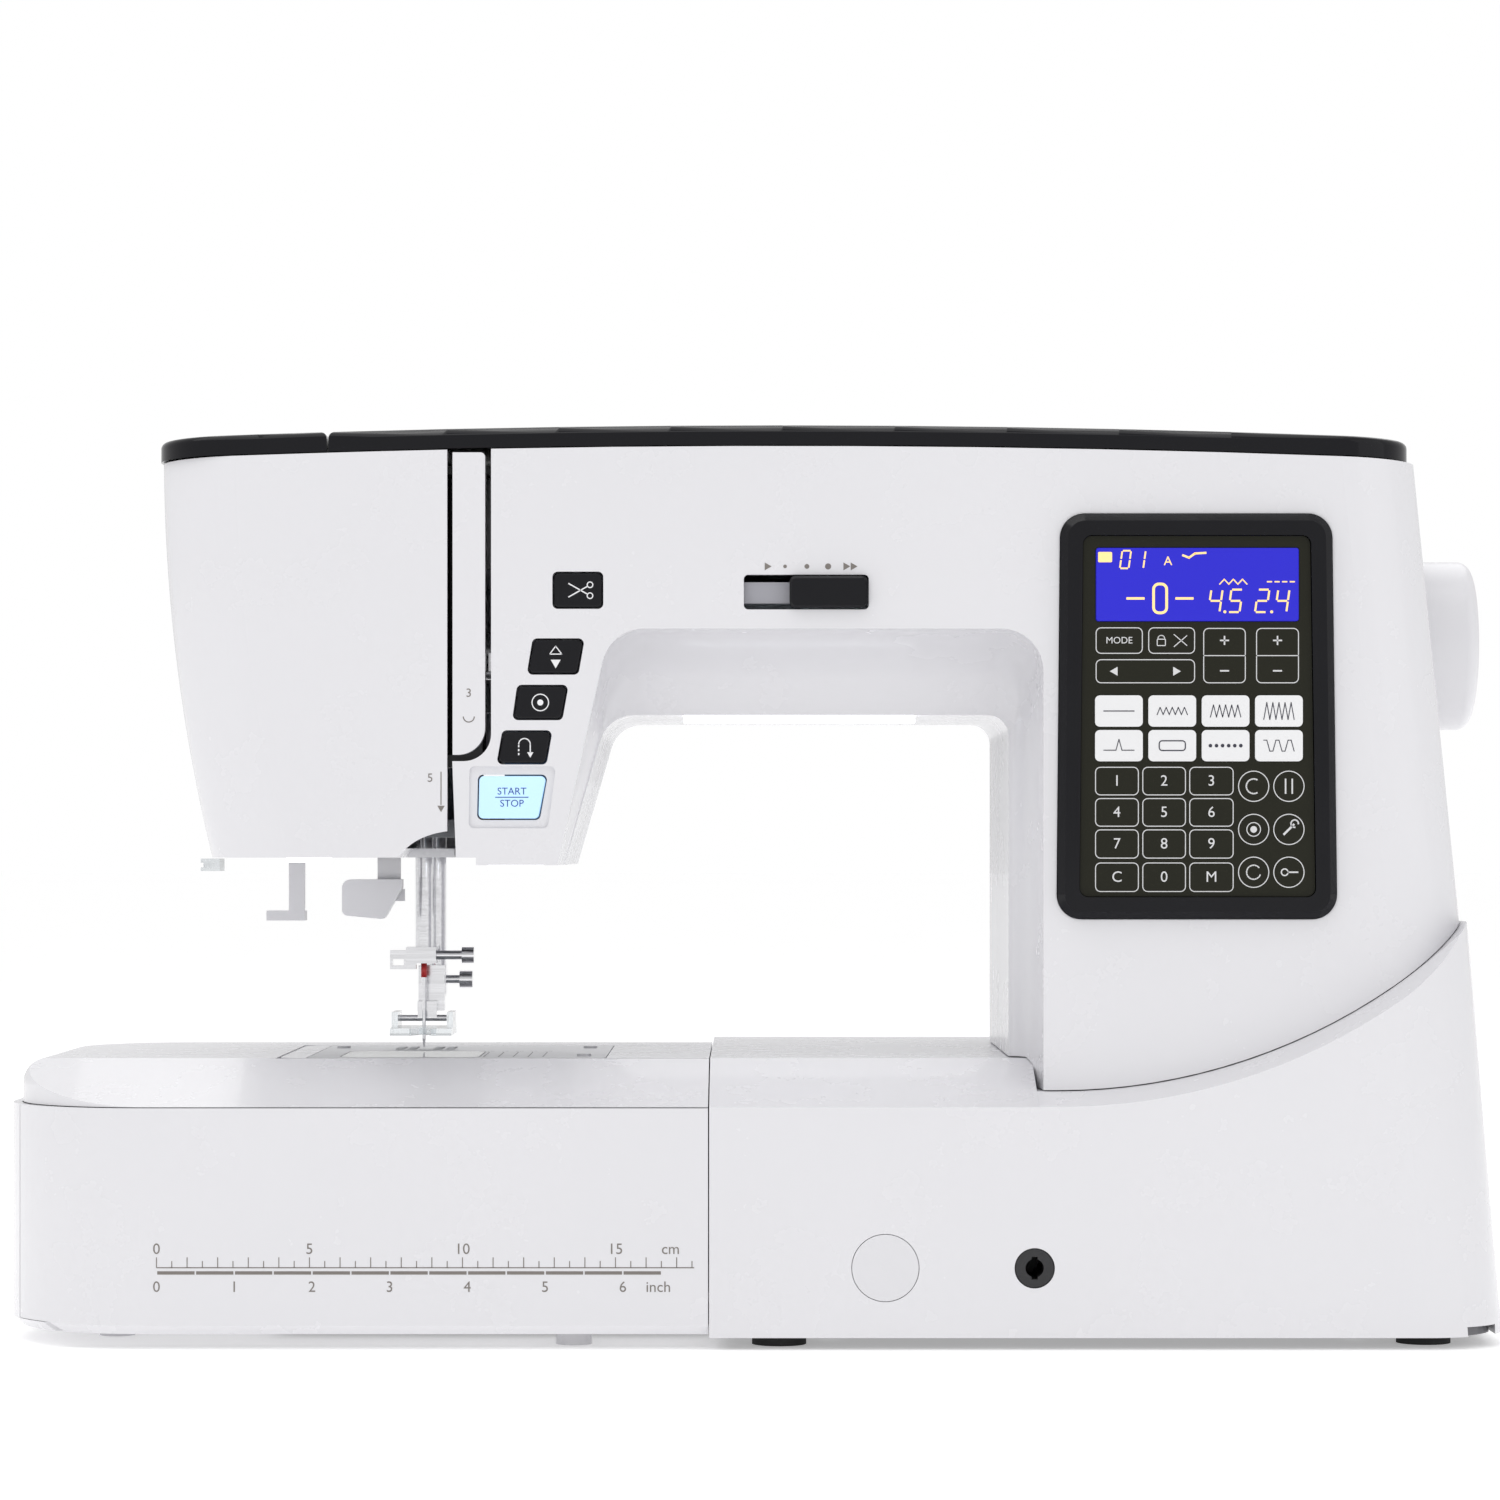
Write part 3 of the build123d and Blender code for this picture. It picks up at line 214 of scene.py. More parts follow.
class Mark:
    """A flat printed or moulded mark, gathered piece by piece in millimetres on one plane."""

    def __init__(self, name, origin, turn=FACING):
        self.name = name
        self.bm = bmesh.new()
        self.place = Matrix.Translation(origin) @ turn @ Matrix.Scale(MM, 4)

    def _stamp(self, part, x, y, angle=0.0):
        mesh = bpy.data.meshes.new("stamp")
        part.to_mesh(mesh)
        part.free()
        turn = Matrix.Translation((x, y, 0)) @ Matrix.Rotation(math.radians(angle), 4, "Z")
        mesh.transform(turn)
        self.bm.from_mesh(mesh)
        bpy.data.meshes.remove(mesh)

    def bar(self, x, y, width, height, angle=0.0, radius=0.0):
        """A filled bar centred on a point, with rounded corners if asked."""
        part = bmesh.new()
        bmesh.ops.create_grid(part, x_segments=1, y_segments=1, size=0.5)
        bmesh.ops.scale(part, vec=(width, height, 1), verts=part.verts)
        if radius:
            bmesh.ops.bevel(part, geom=list(part.verts), offset=radius, affect="VERTICES", segments=6,
                            profile=0.5, material=-1)
        self._stamp(part, x, y, angle)

    def frame_line(self, x, y, width, height, radius, line=0.28):
        """An outline of a rounded rectangle."""
        part = bmesh.new()
        bmesh.ops.create_grid(part, x_segments=1, y_segments=1, size=0.5)
        bmesh.ops.scale(part, vec=(width, height, 1), verts=part.verts)
        bmesh.ops.bevel(part, geom=list(part.verts), offset=radius, affect="VERTICES", segments=7, profile=0.5,
                        material=-1)
        self._hollow(part, line)
        self._stamp(part, x, y)

    def ring(self, x, y, radius, line=0.28, sides=40):
        part = bmesh.new()
        bmesh.ops.create_circle(part, cap_ends=True, segments=sides, radius=radius)
        self._hollow(part, line)
        self._stamp(part, x, y)

    def disc(self, x, y, radius, sides=28, angle=0.0):
        """A filled disc, or a triangle with three sides, pointing up at angle zero."""
        part = bmesh.new()
        bmesh.ops.create_circle(part, cap_ends=True, segments=sides, radius=radius)
        self._stamp(part, x, y, angle)

    @staticmethod
    def _hollow(part, line):
        face = part.faces[:] if part.faces else []
        bmesh.ops.inset_individual(part, faces=face, thickness=line, use_even_offset=True)
        inner = min(part.faces, key=lambda f: f.calc_center_median().length - 0.001 * len(f.verts))
        bmesh.ops.delete(part, geom=[inner], context="FACES")

    def arc(self, x, y, radius, start, end, line=0.28, steps=14):
        """Part of a ring as short bars, from one angle to another in degrees."""
        step = (end - start) / steps
        for i in range(steps):
            middle = math.radians(start + step * (i + 0.5))
            length = abs(math.radians(step)) * radius * 1.12
            self.bar(x + radius * math.cos(middle), y + radius * math.sin(middle), length, line,
                     math.degrees(middle) + 90)

    def path(self, points, line=0.28):
        """Straight strokes through points."""
        for (x0, y0), (x1, y1) in zip(points, points[1:]):
            length = math.hypot(x1 - x0, y1 - y0)
            angle = math.degrees(math.atan2(y1 - y0, x1 - x0))
            self.bar((x0 + x1) / 2, (y0 + y1) / 2, length + line * 0.7, line, angle)

    def text(self, words, x, y, size):
        """Upright words centred on a point."""
        curve = bpy.data.curves.new("words", "FONT")
        curve.body = words
        curve.size = size
        curve.align_x = "CENTER"
        curve.align_y = "CENTER"
        curve.resolution_u = 4
        maker = bpy.data.objects.new("words", curve)
        bpy.context.scene.collection.objects.link(maker)
        mesh = bpy.data.meshes.new_from_object(maker.evaluated_get(bpy.context.evaluated_depsgraph_get()))
        mesh.transform(Matrix.Translation((x, y, 0)))
        self.bm.from_mesh(mesh)
        bpy.data.meshes.remove(mesh)
        bpy.data.objects.remove(maker)
        bpy.data.curves.remove(curve)

    def finish(self, material, body):
        self.bm.transform(self.place)
        return finish_piece(self.name, self.bm, material, body)


def finish_piece(name, bm, material, body, smooth=False):
    """Turns a finished bmesh, already in the row frame, into a piece that rides on a body."""
    mesh = bpy.data.meshes.new(name)
    for face in bm.faces:
        face.smooth = smooth
    bm.to_mesh(mesh)
    bm.free()
    piece = bpy.data.objects.new(name, mesh)
    bpy.context.scene.collection.objects.link(piece)
    mesh.materials.append(material)
    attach(piece, body)
    return piece


def turned(bm, profile, centre, axis, steps=64):
    """Adds a solid of revolution: profile is (distance along the axis, radius) pairs, in metres."""
    direction = Vector(axis).normalized()
    side = direction.orthogonal().normalized()
    verts = [bm.verts.new(Vector(centre) + direction * along + side * radius) for along, radius in profile]
    edges = [bm.edges.new(pair) for pair in zip(verts, verts[1:])]
    bmesh.ops.spin(bm, geom=verts + edges, cent=centre, axis=direction, angle=math.tau, steps=steps, use_merge=True)
    bmesh.ops.remove_doubles(bm, verts=bm.verts, dist=1e-6)
    bmesh.ops.recalc_face_normals(bm, faces=bm.faces)


# ---- properties ----
class FinishSettings(bpy.types.PropertyGroup):
    """Colours and gloss of the covers."""
    shell: bpy.props.FloatVectorProperty(
        name="Shell", description="Colour of the moulded covers", subtype="COLOR", default=(0.735, 0.73, 0.755))
    shell_roughness: bpy.props.FloatProperty(
        name="Shell Roughness", description="Gloss of the moulded covers", default=0.27, min=0, max=1,
        subtype="FACTOR")
    trim: bpy.props.FloatVectorProperty(
        name="Trim", description="Colour of the lid and the panel frame", subtype="COLOR",
        default=(0.006, 0.006, 0.008))
    keypad: bpy.props.FloatVectorProperty(
        name="Keypad", description="Colour of the keypad film", subtype="COLOR", default=(0.016, 0.016, 0.010))
    screen: bpy.props.FloatVectorProperty(
        name="Screen", description="Colour of the lit screen", subtype="COLOR", default=(0.010, 0.008, 0.42))
    ink: bpy.props.FloatVectorProperty(
        name="Ink", description="Colour of the printed marks on the covers", subtype="COLOR",
        default=(0.20, 0.18, 0.165))
    segments: bpy.props.FloatVectorProperty(
        name="Segments", description="Colour of the lit segments", subtype="COLOR", default=(0.75, 0.52, 0.22))


class PrintSettings(bpy.types.PropertyGroup):
    """Printed marks on the covers."""
    ruler_start: bpy.props.FloatProperty(
        name="Ruler Start", description="Zero mark, from the left end of the door", default=0.0486, unit="LENGTH")
    ruler_height: bpy.props.FloatProperty(
        name="Ruler Height", description="Centimetre line above the table", default=0.0270, unit="LENGTH")
    line: bpy.props.FloatProperty(
        name="Line", description="Width of the key outlines in millimetres", default=0.30, min=0.05)


class StageSettings(bpy.types.PropertyGroup):
    """Camera and floor."""
    distance: bpy.props.FloatProperty(
        name="Distance", description="Camera distance in front of the base", default=1.5, unit="LENGTH")
    height: bpy.props.FloatProperty(
        name="Height", description="Camera height above the table", default=0.1635, unit="LENGTH")
    lens: bpy.props.FloatProperty(name="Lens", description="Focal length in millimetres", default=110.16)
    floor_size: bpy.props.FloatProperty(
        name="Floor", description="Half width of the floor", default=30.0, unit="LENGTH")


MATERIALS = {}


def make_materials(look):
    shell = tuple(look.shell)
    MATERIALS.update(
        shell=plastic("shell", shell, look.shell_roughness, 0.12, 900, 0.006, 0.012, 0.004, Coat_Weight=0.25),
        shell_cool=plastic("shell_cool", tuple(c * 0.97 for c in shell), 0.3, 0.14, 800, 0.008, 0.015, 0.006),
        trim=plastic("trim", tuple(look.trim), 0.12, 0.05, 1200, 0.02, 0.1, 0.03,
                     Coat_Weight=0.05, Specular_IOR_Level=0.2),
        dark=plastic("dark", (0.018, 0.018, 0.02), 0.45, 0.5, 700, 0.04, 0.08, 0.06),
        grey=plastic("grey", (0.13, 0.13, 0.14), 0.4, 0.4, 700, 0.04, 0.08, 0.05),
        rubber=plastic("rubber", (0.02, 0.02, 0.02), 0.75, 0.8, 500, 0.05, 0.05, 0.12),
        keypad=plastic("keypad", tuple(look.keypad), 0.34, 0.25, 1500, 0.02, 0.08, 0.01, Specular_IOR_Level=0.15),
        keys=plastic("keys", (0.80, 0.80, 0.81), 0.35, 0.2, 1200, 0.02, 0.05, 0.02),
        button=plastic("button", (0.008, 0.008, 0.010), 0.16, 0.1, 900, 0.02, 0.08, 0.01, Specular_IOR_Level=0.2),
        symbol=plastic("symbol", (0.80, 0.80, 0.82), 0.4, 0.1, 1500, 0.02, 0.03, 0.01),
        start_text=plastic("start_text", (0.02, 0.06, 0.28), 0.4, 0.1, 1500, 0.02, 0.03, 0.01),
        lit=plastic("lit", (0.50, 0.68, 0.88), 0.2, 0.1, 900, 0.08, 0.04, 0.01,
                    Emission_Color=(0.30, 0.62, 1.0, 1), Emission_Strength=0.35),
        screen=plastic("screen", tuple(look.screen), 0.08, 0.05, 2000, 0.03, 0.04, 0.01,
                       Emission_Color=(*look.screen, 1), Emission_Strength=0.5),
        segment=plastic("segment", tuple(look.segments), 0.4, 0.0, 900, 0.02, 0.0, 0.0,
                        Emission_Color=(*look.segments, 1), Emission_Strength=0.7),
        clear=plastic("clear", (0.90, 0.93, 0.95), 0.06, 0.1, 900, 0.01, 0.04, 0.01, Transmission_Weight=0.88),
        lamp=plastic("lamp", (0.95, 0.97, 1.0), 0.3, 0.1, 900, 0.01, 0.02, 0.01,
                     Emission_Color=(0.92, 0.96, 1.0, 1), Emission_Strength=2.0),
        board=plastic("board", (0.01, 0.09, 0.04), 0.4, 0.3, 600, 0.08, 0.05, 0.04),
        painted=plastic("painted", (0.035, 0.035, 0.04), 0.38, 0.5, 500, 0.04, 0.06, 0.05),
        chrome=metal("chrome", (0.78, 0.78, 0.80), 0.12, 0.05),
        steel=metal("steel", (0.58, 0.58, 0.60), 0.26, 0.12),
        cast=metal("cast", (0.45, 0.46, 0.48), 0.5, 0.25, 0.5, 500, 0.5),
        ink=plastic("ink", tuple(look.ink), 0.45, 0.1, 1500, 0.03, 0.03, 0.01),
        line=plastic("line", (0.66, 0.66, 0.67), 0.4, 0.1, 1500, 0.02, 0.03, 0.01),
        icon=plastic("icon", (0.03, 0.03, 0.05), 0.4, 0.1, 1500, 0.03, 0.03, 0.01),
        red=plastic("red", (0.55, 0.03, 0.03), 0.35, 0.1, 1200, 0.03, 0.04, 0.01),
    )
    front_of_board(MATERIALS["board"])


def front_of_board(material):
    """Makes the moulded channel at the front of the board carrier pale, by its depth in the machine."""
    tree = material.node_tree
    place = tree.nodes.new("ShaderNodeTexCoord")
    parts = tree.nodes.new("ShaderNodeSeparateXYZ")
    tree.links.new(place.outputs["Object"], parts.inputs["Vector"])
    pale = span(tree, parts.outputs["Y"], -0.086, -0.085, 1.0, 0.0)
    base = tree.nodes["Principled BSDF"].inputs["Base Color"]
    mixed = mix_color(tree, pale, base.links[0].from_socket, (0.42, 0.42, 0.46, 1))
    tree.links.new(mixed, base)


NODE_FINISH = {
    "shell": "arm_front_cover arm_rear_cover base_cover face_plate storage_door table_box table_top free_arm_cover "
             "top_deck thread_channel_cover",
    "shell_cool": "balance_cap buttonhole_lever carry_handle handwheel needle_threader spool_pin",
    "grey": "base_pan presser_lever pressure_dial",
    "clear": "bobbin hook_cover_plate presser_foot thread_cutter",
    "lamp": "lamp_lenses",
    # the thread_channel_liner's dark finish is painted shade: a dark sheet standing for the depth of the thread
    # channel
    "dark": "bobbin_holder knee_lifter_socket power_switch side_panel thread_channel_liner",
    "chrome": "bobbin_winder_spindle foot_holder needle needle_bar needle_clamp presser_bar take_up_lever",
    "board": "circuit_boards",
    "steel": "cover_screws feed_dogs bushes_and_pins lower_shaft main_shaft motor_pulley needle_plate rotary_hook",
    "cast": "frame_casting",
    "trim": "head_cap lid panel_bezel",
    "keypad": "keypad_panel",
    "screen": "lcd_window",
    "button": "lock_stitch_button needle_position_button reverse_button speed_slider thread_cut_button",
    "painted": "motor",
    "keys": "pattern_keys",
    "rubber": "rubber_feet",
    "lit": "start_stop_button",
}
BACK = Matrix.Rotation(math.pi, 4, "Z") @ FACING
FLAT = Matrix.Identity(4)
LIFT = 0.05 * MM        # how far a print stands in front of its cover
HALF_INCH = 12.7
SEGMENTS = {"0": "abcdef", "1": "bc", "2": "abged", "3": "abgcd", "4": "fgbc", "5": "afgcd", "6": "afgedc",
            "7": "abc", "8": "abcdefg", "9": "abcdfg"}


def on_front(name, node):
    """A mark in the machine's own millimetres, just in front of a node."""
    return Mark(name, (0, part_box(node)[0][1] - LIFT, 0))


def middle(node):
    low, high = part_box(node)
    return (low[0] + high[0]) / 2 / MM, (low[2] + high[2]) / 2 / MM


def seven(mark, digit, x, y, height, line):
    """One slanted seven-segment digit."""
    half, wide = height / 4, height * 0.25
    places = {"a": (0, 2 * half, 0), "g": (0, 0, 0), "d": (0, -2 * half, 0), "f": (-wide, half, 1),
              "b": (wide, half, 1), "e": (-wide, -half, 1), "c": (wide, -half, 1)}
    for segment in SEGMENTS[digit]:
        dx, dy, upright = places[segment]
        length = 2 * half * 0.86 if upright else 2 * wide * 0.86
        mark.bar(x + dx + dy * 0.14, y + dy, length, line, 82 if upright else 0)


# name, place in metres, side in metres, power in watts
AREA_LIGHTS = (("key", (-0.5, -0.5, 1.9), 1.8, 13), ("fill", (1.5, -1.0, 1.0), 1.6, 3),
               ("rim", (0.2, 1.2, 1.7), 1.6, 9))
AMBIENT = 0.74          # strength of the studio's even light on the machine


# ---- operators ----
class SEWING_OT_finishes(bpy.types.Operator):
    """Gives every part of the machine its material"""
    bl_idname = "sewing.finishes"
    bl_label = "Finishes"

    def execute(self, context):
        make_materials(context.scene.sewing_finish)
        for key, names in NODE_FINISH.items():
            for name in names.split():
                part = NODES[name]
                if not part.material_slots:
                    raise RuntimeError("no material slot on " + name)
                for place in part.material_slots:
                    place.material = MATERIALS[key]
        missing = set(NODES) - {n for names in NODE_FINISH.values() for n in names.split()}
        if missing:
            raise RuntimeError("no finish for " + ", ".join(sorted(missing)))
        return {"FINISHED"}


class SEWING_OT_ruler(bpy.types.Operator):
    """Prints the centimetre and inch ruler on the front door"""
    bl_idname = "sewing.ruler"
    bl_label = "Ruler"

    def execute(self, context):
        look = context.scene.sewing_print
        zero = (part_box("storage_door")[0][0] + look.ruler_start) / MM
        level = look.ruler_height / MM
        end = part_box("storage_door")[1][0] / MM - 4.5
        mark = on_front("ruler", "storage_door")
        mark.bar((zero + end) / 2, level, end - zero, 0.35)
        for i in range(int((end - zero) / 5) + 1):
            tall = 3.4 if i % 2 == 0 else 2.2
            mark.bar(zero + 5 * i, level + tall / 2, 0.32, tall)
        for i in range(int((end - zero) / HALF_INCH)):
            mark.bar(zero + HALF_INCH * (i + 0.5), level - 1.7, 12.2, 1.1)
        for i in (0, 5, 10, 15):
            mark.text(str(i), zero + 10 * i, level + 6.0, 5.0)
        mark.text("cm", zero + 168, level + 6.0, 5.0)
        for i in range(7):
            mark.text(str(i), zero + 2 * HALF_INCH * i, level - 6.4, 5.0)
        mark.text("inch", zero + 164, level - 6.4, 5.0)
        mark.finish(MATERIALS["ink"], "storage_door")
        return {"FINISHED"}


class SEWING_OT_keypad(bpy.types.Operator):
    """Prints the membrane keys and the pattern keys"""
    bl_idname = "sewing.keypad"
    bl_label = "Keypad"

    def execute(self, context):
        line = context.scene.sewing_print.line
        low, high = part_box("keypad_panel")
        left, top = low[0] / MM, high[2] / MM
        mark = on_front("keypad_print", "keypad_panel")

        def key(x0, x1, y0, y1, words="", size=3.2):
            x, z = left + (x0 + x1) / 2, top - (y0 + y1) / 2
            mark.frame_line(x, z, x1 - x0, y1 - y0, 1.8, line)
            if words:
                mark.text(words, x, z, size)
            return x, z

        key(5.2, 20.7, 30.1, 38.8, "MODE", 3.1)
        x, z = key(22.5, 37.9, 30.1, 38.8)
        mark.frame_line(x - 3.4, z - 0.6, 3.0, 2.4, 0.4, line)
        mark.arc(x - 3.4, z + 0.6, 1.1, 0, 180, line)
        mark.path([(x + 0.8, z + 2), (x + 5, z - 1.6)], line)
        mark.path([(x + 0.8, z - 2), (x + 5, z + 1.6)], line)
        for x0, x1 in ((40.6, 54.6), (58.0, 72.1)):
            x, z = key(x0, x1, 30.3, 48.5)
            mark.bar(x, z + 5, 3.0, 0.5)
            mark.bar(x, z + 5, 0.5, 3.0)
            mark.bar(x, z - 5, 3.0, 0.5)
            mark.bar(x, z, x1 - x0, line)
        x, z = key(5.2, 37.9, 40.6, 48.5)
        for side in (-1, 1):
            mark.disc(x + 10 * side, z, 1.7, sides=3, angle=-90 * side)
        words = iter("123456789C0M")
        for y0, y1 in ((76.0, 85.4), (86.3, 95.7), (96.6, 106.2), (107.5, 117.2)):
            for x0, x1 in ((5.0, 19.4), (20.55, 34.9), (36.0, 50.6)):
                key(x0, x1, y0, y1, next(words), 5.0)
        for row, dz in enumerate((82.4, 96.6, 110.7)):
            for col, dx in enumerate((57.2, 68.8)):
                x, z = left + dx, top - dz
                mark.ring(x, z, 5.14, line)
                icon = row * 2 + col
                if icon == 0:
                    mark.arc(x, z, 2.4, 60, 300, line * 1.6)
                elif icon == 1:
                    mark.bar(x - 1.1, z, 0.5, 5)
                    mark.bar(x + 1.1, z, 0.5, 5)
                elif icon == 2:
                    mark.ring(x, z, 2.4, line)
                    mark.disc(x, z, 1.1)
                elif icon == 3:
                    mark.bar(x, z, 5.0, 0.7, 45)
                    mark.arc(x + 1.9, z + 1.9, 1.2, -10, 280, 0.5)
                elif icon == 4:
                    mark.arc(x, z, 2.3, 40, 340, line * 1.4)
                else:
                    mark.ring(x - 1.4, z, 1.3, line * 1.4)
                    mark.bar(x + 1.3, z, 3.6, 0.5)
        mark.finish(MATERIALS["line"], "machine")
        self.pattern_keys()
        return {"FINISHED"}

    def pattern_keys(self):
        mark = on_front("pattern_print", "pattern_keys")
        for row in range(2):
            for col in range(4):
                x, z = 111.9 + 17.55 * col + 7.85, 214.4 - 11.4 * row - 5.15
                kind = row * 4 + col
                steps = [x - 5 + i for i in range(11)]
                if kind == 0:
                    mark.path([(x - 5, z), (x + 5, z)], 0.35)
                elif kind in (1, 2, 3):
                    tall = (1.2, 2.0, 2.8)[kind - 1]
                    mark.path([(s, z + (tall if i % 2 else -tall)) for i, s in enumerate(steps)], 0.3)
                elif kind == 4:
                    mark.path([(s, z - 1.5 + (3.6 if i == 5 else 0)) for i, s in enumerate(steps)], 0.3)
                elif kind == 5:
                    mark.frame_line(x, z, 9, 3.6, 1.2, 0.4)
                elif kind == 6:
                    for s in steps[::2]:
                        mark.disc(s, z, 0.6)
                else:
                    mark.path([(s, z + (1.8 if i % 4 < 2 else -1.8)) for i, s in enumerate(steps)], 0.3)
        mark.finish(MATERIALS["icon"], "machine")


class SEWING_OT_screen(bpy.types.Operator):
    """Lights the segments of the screen"""
    bl_idname = "sewing.screen"
    bl_label = "Screen"

    def execute(self, context):
        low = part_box("lcd_window")[0]
        left, base = low[0] / MM, low[2] / MM
        mark = on_front("screen_segments", "lcd_window")
        mark.bar(left + 2.9, base + 21.0, 4.6, 3.4, radius=0.4)
        seven(mark, "0", left + 9.6, base + 20.2, 5.8, 0.55)
        seven(mark, "1", left + 14.4, base + 20.2, 5.8, 0.55)
        mark.text("A", left + 23.6, base + 19.6, 4.2)
        mark.path([(left + 28.5, base + 21.6), (left + 30.5, base + 20.8), (left + 32.5, base + 22.2),
                   (left + 36.0, base + 22.4)], 0.7)
        mark.bar(left + 12.9, base + 7.4, 6.0, 0.8)
        mark.frame_line(left + 21.0, base + 7.4, 5.2, 10.4, 2.2, 0.9)
        mark.bar(left + 29.0, base + 7.4, 6.0, 0.8)
        for x, digits in ((39.2, "45"), (54.6, "24")):
            seven(mark, digits[0], left + x, base + 6.6, 7.4, 0.65)
            mark.disc(left + x + 3.1, base + 3.0, 0.5)
            seven(mark, digits[1], left + x + 6.6, base + 6.6, 7.4, 0.65)
        mark.path([(left + 40.6 + 1.5 * i, base + 12.9 + (0.8 if i % 2 else -0.8)) for i in range(7)], 0.4)
        for i in range(4):
            mark.bar(left + 57.0 + 2.5 * i, base + 12.9, 1.7, 0.45)
        mark.finish(MATERIALS["segment"], "machine")
        return {"FINISHED"}


class SEWING_OT_buttons(bpy.types.Operator):
    """Prints the symbols on the arm's buttons and over the speed slider"""
    bl_idname = "sewing.buttons"
    bl_label = "Button Symbols"

    def execute(self, context):
        x, z = middle("thread_cut_button")
        mark = on_front("cut_symbol", "thread_cut_button")
        mark.path([(x - 3, z + 2.2), (x + 3, z - 1.2)], 0.4)
        mark.path([(x - 3, z - 2.2), (x + 3, z + 1.2)], 0.4)
        mark.ring(x + 4, z + 1.8, 1.1, 0.35)
        mark.ring(x + 4, z - 1.8, 1.1, 0.35)
        mark.finish(MATERIALS["symbol"], "cutter_key")
        x, z = middle("needle_position_button")
        mark = on_front("position_symbol", "needle_position_button")
        mark.path([(x - 2, z + 0.8), (x + 2, z + 0.8), (x, z + 3.4), (x - 2, z + 0.8)], 0.35)
        mark.disc(x, z - 2.0, 1.9, sides=3, angle=180)
        mark.finish(MATERIALS["symbol"], "position_key")
        x, z = middle("lock_stitch_button")
        mark = on_front("lock_symbol", "lock_stitch_button")
        mark.ring(x, z, 2.9, 0.35)
        mark.disc(x, z, 1.0)
        mark.finish(MATERIALS["symbol"], "lock_key")
        x, z = middle("reverse_button")
        mark = on_front("reverse_symbol", "reverse_button")
        mark.arc(x, z + 1.0, 1.9, 0, 180, 0.4)
        mark.path([(x + 1.9, z + 1.0), (x + 1.9, z - 1.6)], 0.4)
        mark.disc(x + 1.9, z - 2.2, 1.2, sides=3, angle=180)
        for i in range(3):
            mark.bar(x - 1.9, z + 0.4 - 1.3 * i, 0.45, 0.7)
        mark.finish(MATERIALS["symbol"], "reverse_key")
        x, z = middle("start_stop_button")
        mark = on_front("start_symbol", "start_stop_button")
        mark.text("START", x, z + 1.9, 3.3)
        mark.text("STOP", x, z - 2.1, 3.3)
        mark.bar(x, z, 11.0, 0.3)
        mark.finish(MATERIALS["start_text"], "start_key")
        mark = on_front("slider_marks", "arm_front_cover")
        for x, size in ((9.9, 0.6), (17.1, 0.8), (24.1, 1.0)):
            mark.disc(x, 257, size)
        for x in (3.95, 29.9, 32.3):
            mark.disc(x, 257, 1.5, sides=3, angle=-90)
        mark.finish(MATERIALS["ink"], "machine")
        return {"FINISHED"}


class SEWING_OT_thread_marks(bpy.types.Operator):
    """Prints the threading numbers on the head"""
    bl_idname = "sewing.thread_marks"
    bl_label = "Threading Marks"

    def execute(self, context):
        mark = on_front("thread_mark_strip", "thread_channel_cover")
        x = middle("thread_channel_cover")[0]
        mark.text("3", x, 215.2, 4.0)
        mark.arc(x, 207.5, 1.8, 180, 360, 0.35)
        mark.finish(MATERIALS["ink"], "machine")
        mark = on_front("thread_mark_head", "face_plate")
        mark.text("5", -107.1, 187.2, 4.0)
        mark.path([(-103.5, 189.2), (-103.5, 178.5)], 0.35)
        mark.disc(-103.5, 177.4, 1.4, sides=3, angle=180)
        mark.finish(MATERIALS["ink"], "machine")
        bm = bmesh.new()
        low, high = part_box("needle")
        centre = ((low[0] + high[0]) / 2, (low[1] + high[1]) / 2, 119.0 * MM)
        turned(bm, [(0, 0.0), (0, 1.04 * MM), (5 * MM, 1.04 * MM), (5 * MM, 0.0)], centre, (0, 0, 1))
        finish_piece("needle_band", bm, MATERIALS["red"], "needle_unit", smooth=True)
        return {"FINISHED"}


class SEWING_OT_plate_marks(bpy.types.Operator):
    """Engraves the seam guide lines and numbers of the needle plate"""
    bl_idname = "sewing.plate_marks"
    bl_label = "Needle Plate Marks"

    def execute(self, context):
        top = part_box("needle_plate")[1][2]
        needle = (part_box("needle")[0][0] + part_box("needle")[1][0]) / 2 / MM
        mark = Mark("plate_lines", (0, 0, top + LIFT), FLAT)
        for gap in (10, 15, 20, 25, 30):
            mark.bar(needle + gap + 14, -40, 0.35, 36)
            mark.text(str(gap), needle + gap + 14, -15, 3.0)
        mark.finish(MATERIALS["icon"], "machine")
        return {"FINISHED"}


class SEWING_OT_vents(bpy.types.Operator):
    """Draws the cooling slots at the back of the pillar as flat dark bars: painted shade standing in for the dark
    insides of open slots
    """
    bl_idname = "sewing.vents"
    bl_label = "Rear Vents"

    def execute(self, context):
        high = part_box("arm_rear_cover")[1]
        mark = Mark("rear_vents", (0, high[1] + LIFT, 0), BACK)
        for i in range(8):
            mark.bar(-165, 120 + 6 * i, 44, 2.4, radius=1.1)
        # the dark finish here is painted shade for the open vent slots
        mark.finish(MATERIALS["dark"], "machine")
        return {"FINISHED"}


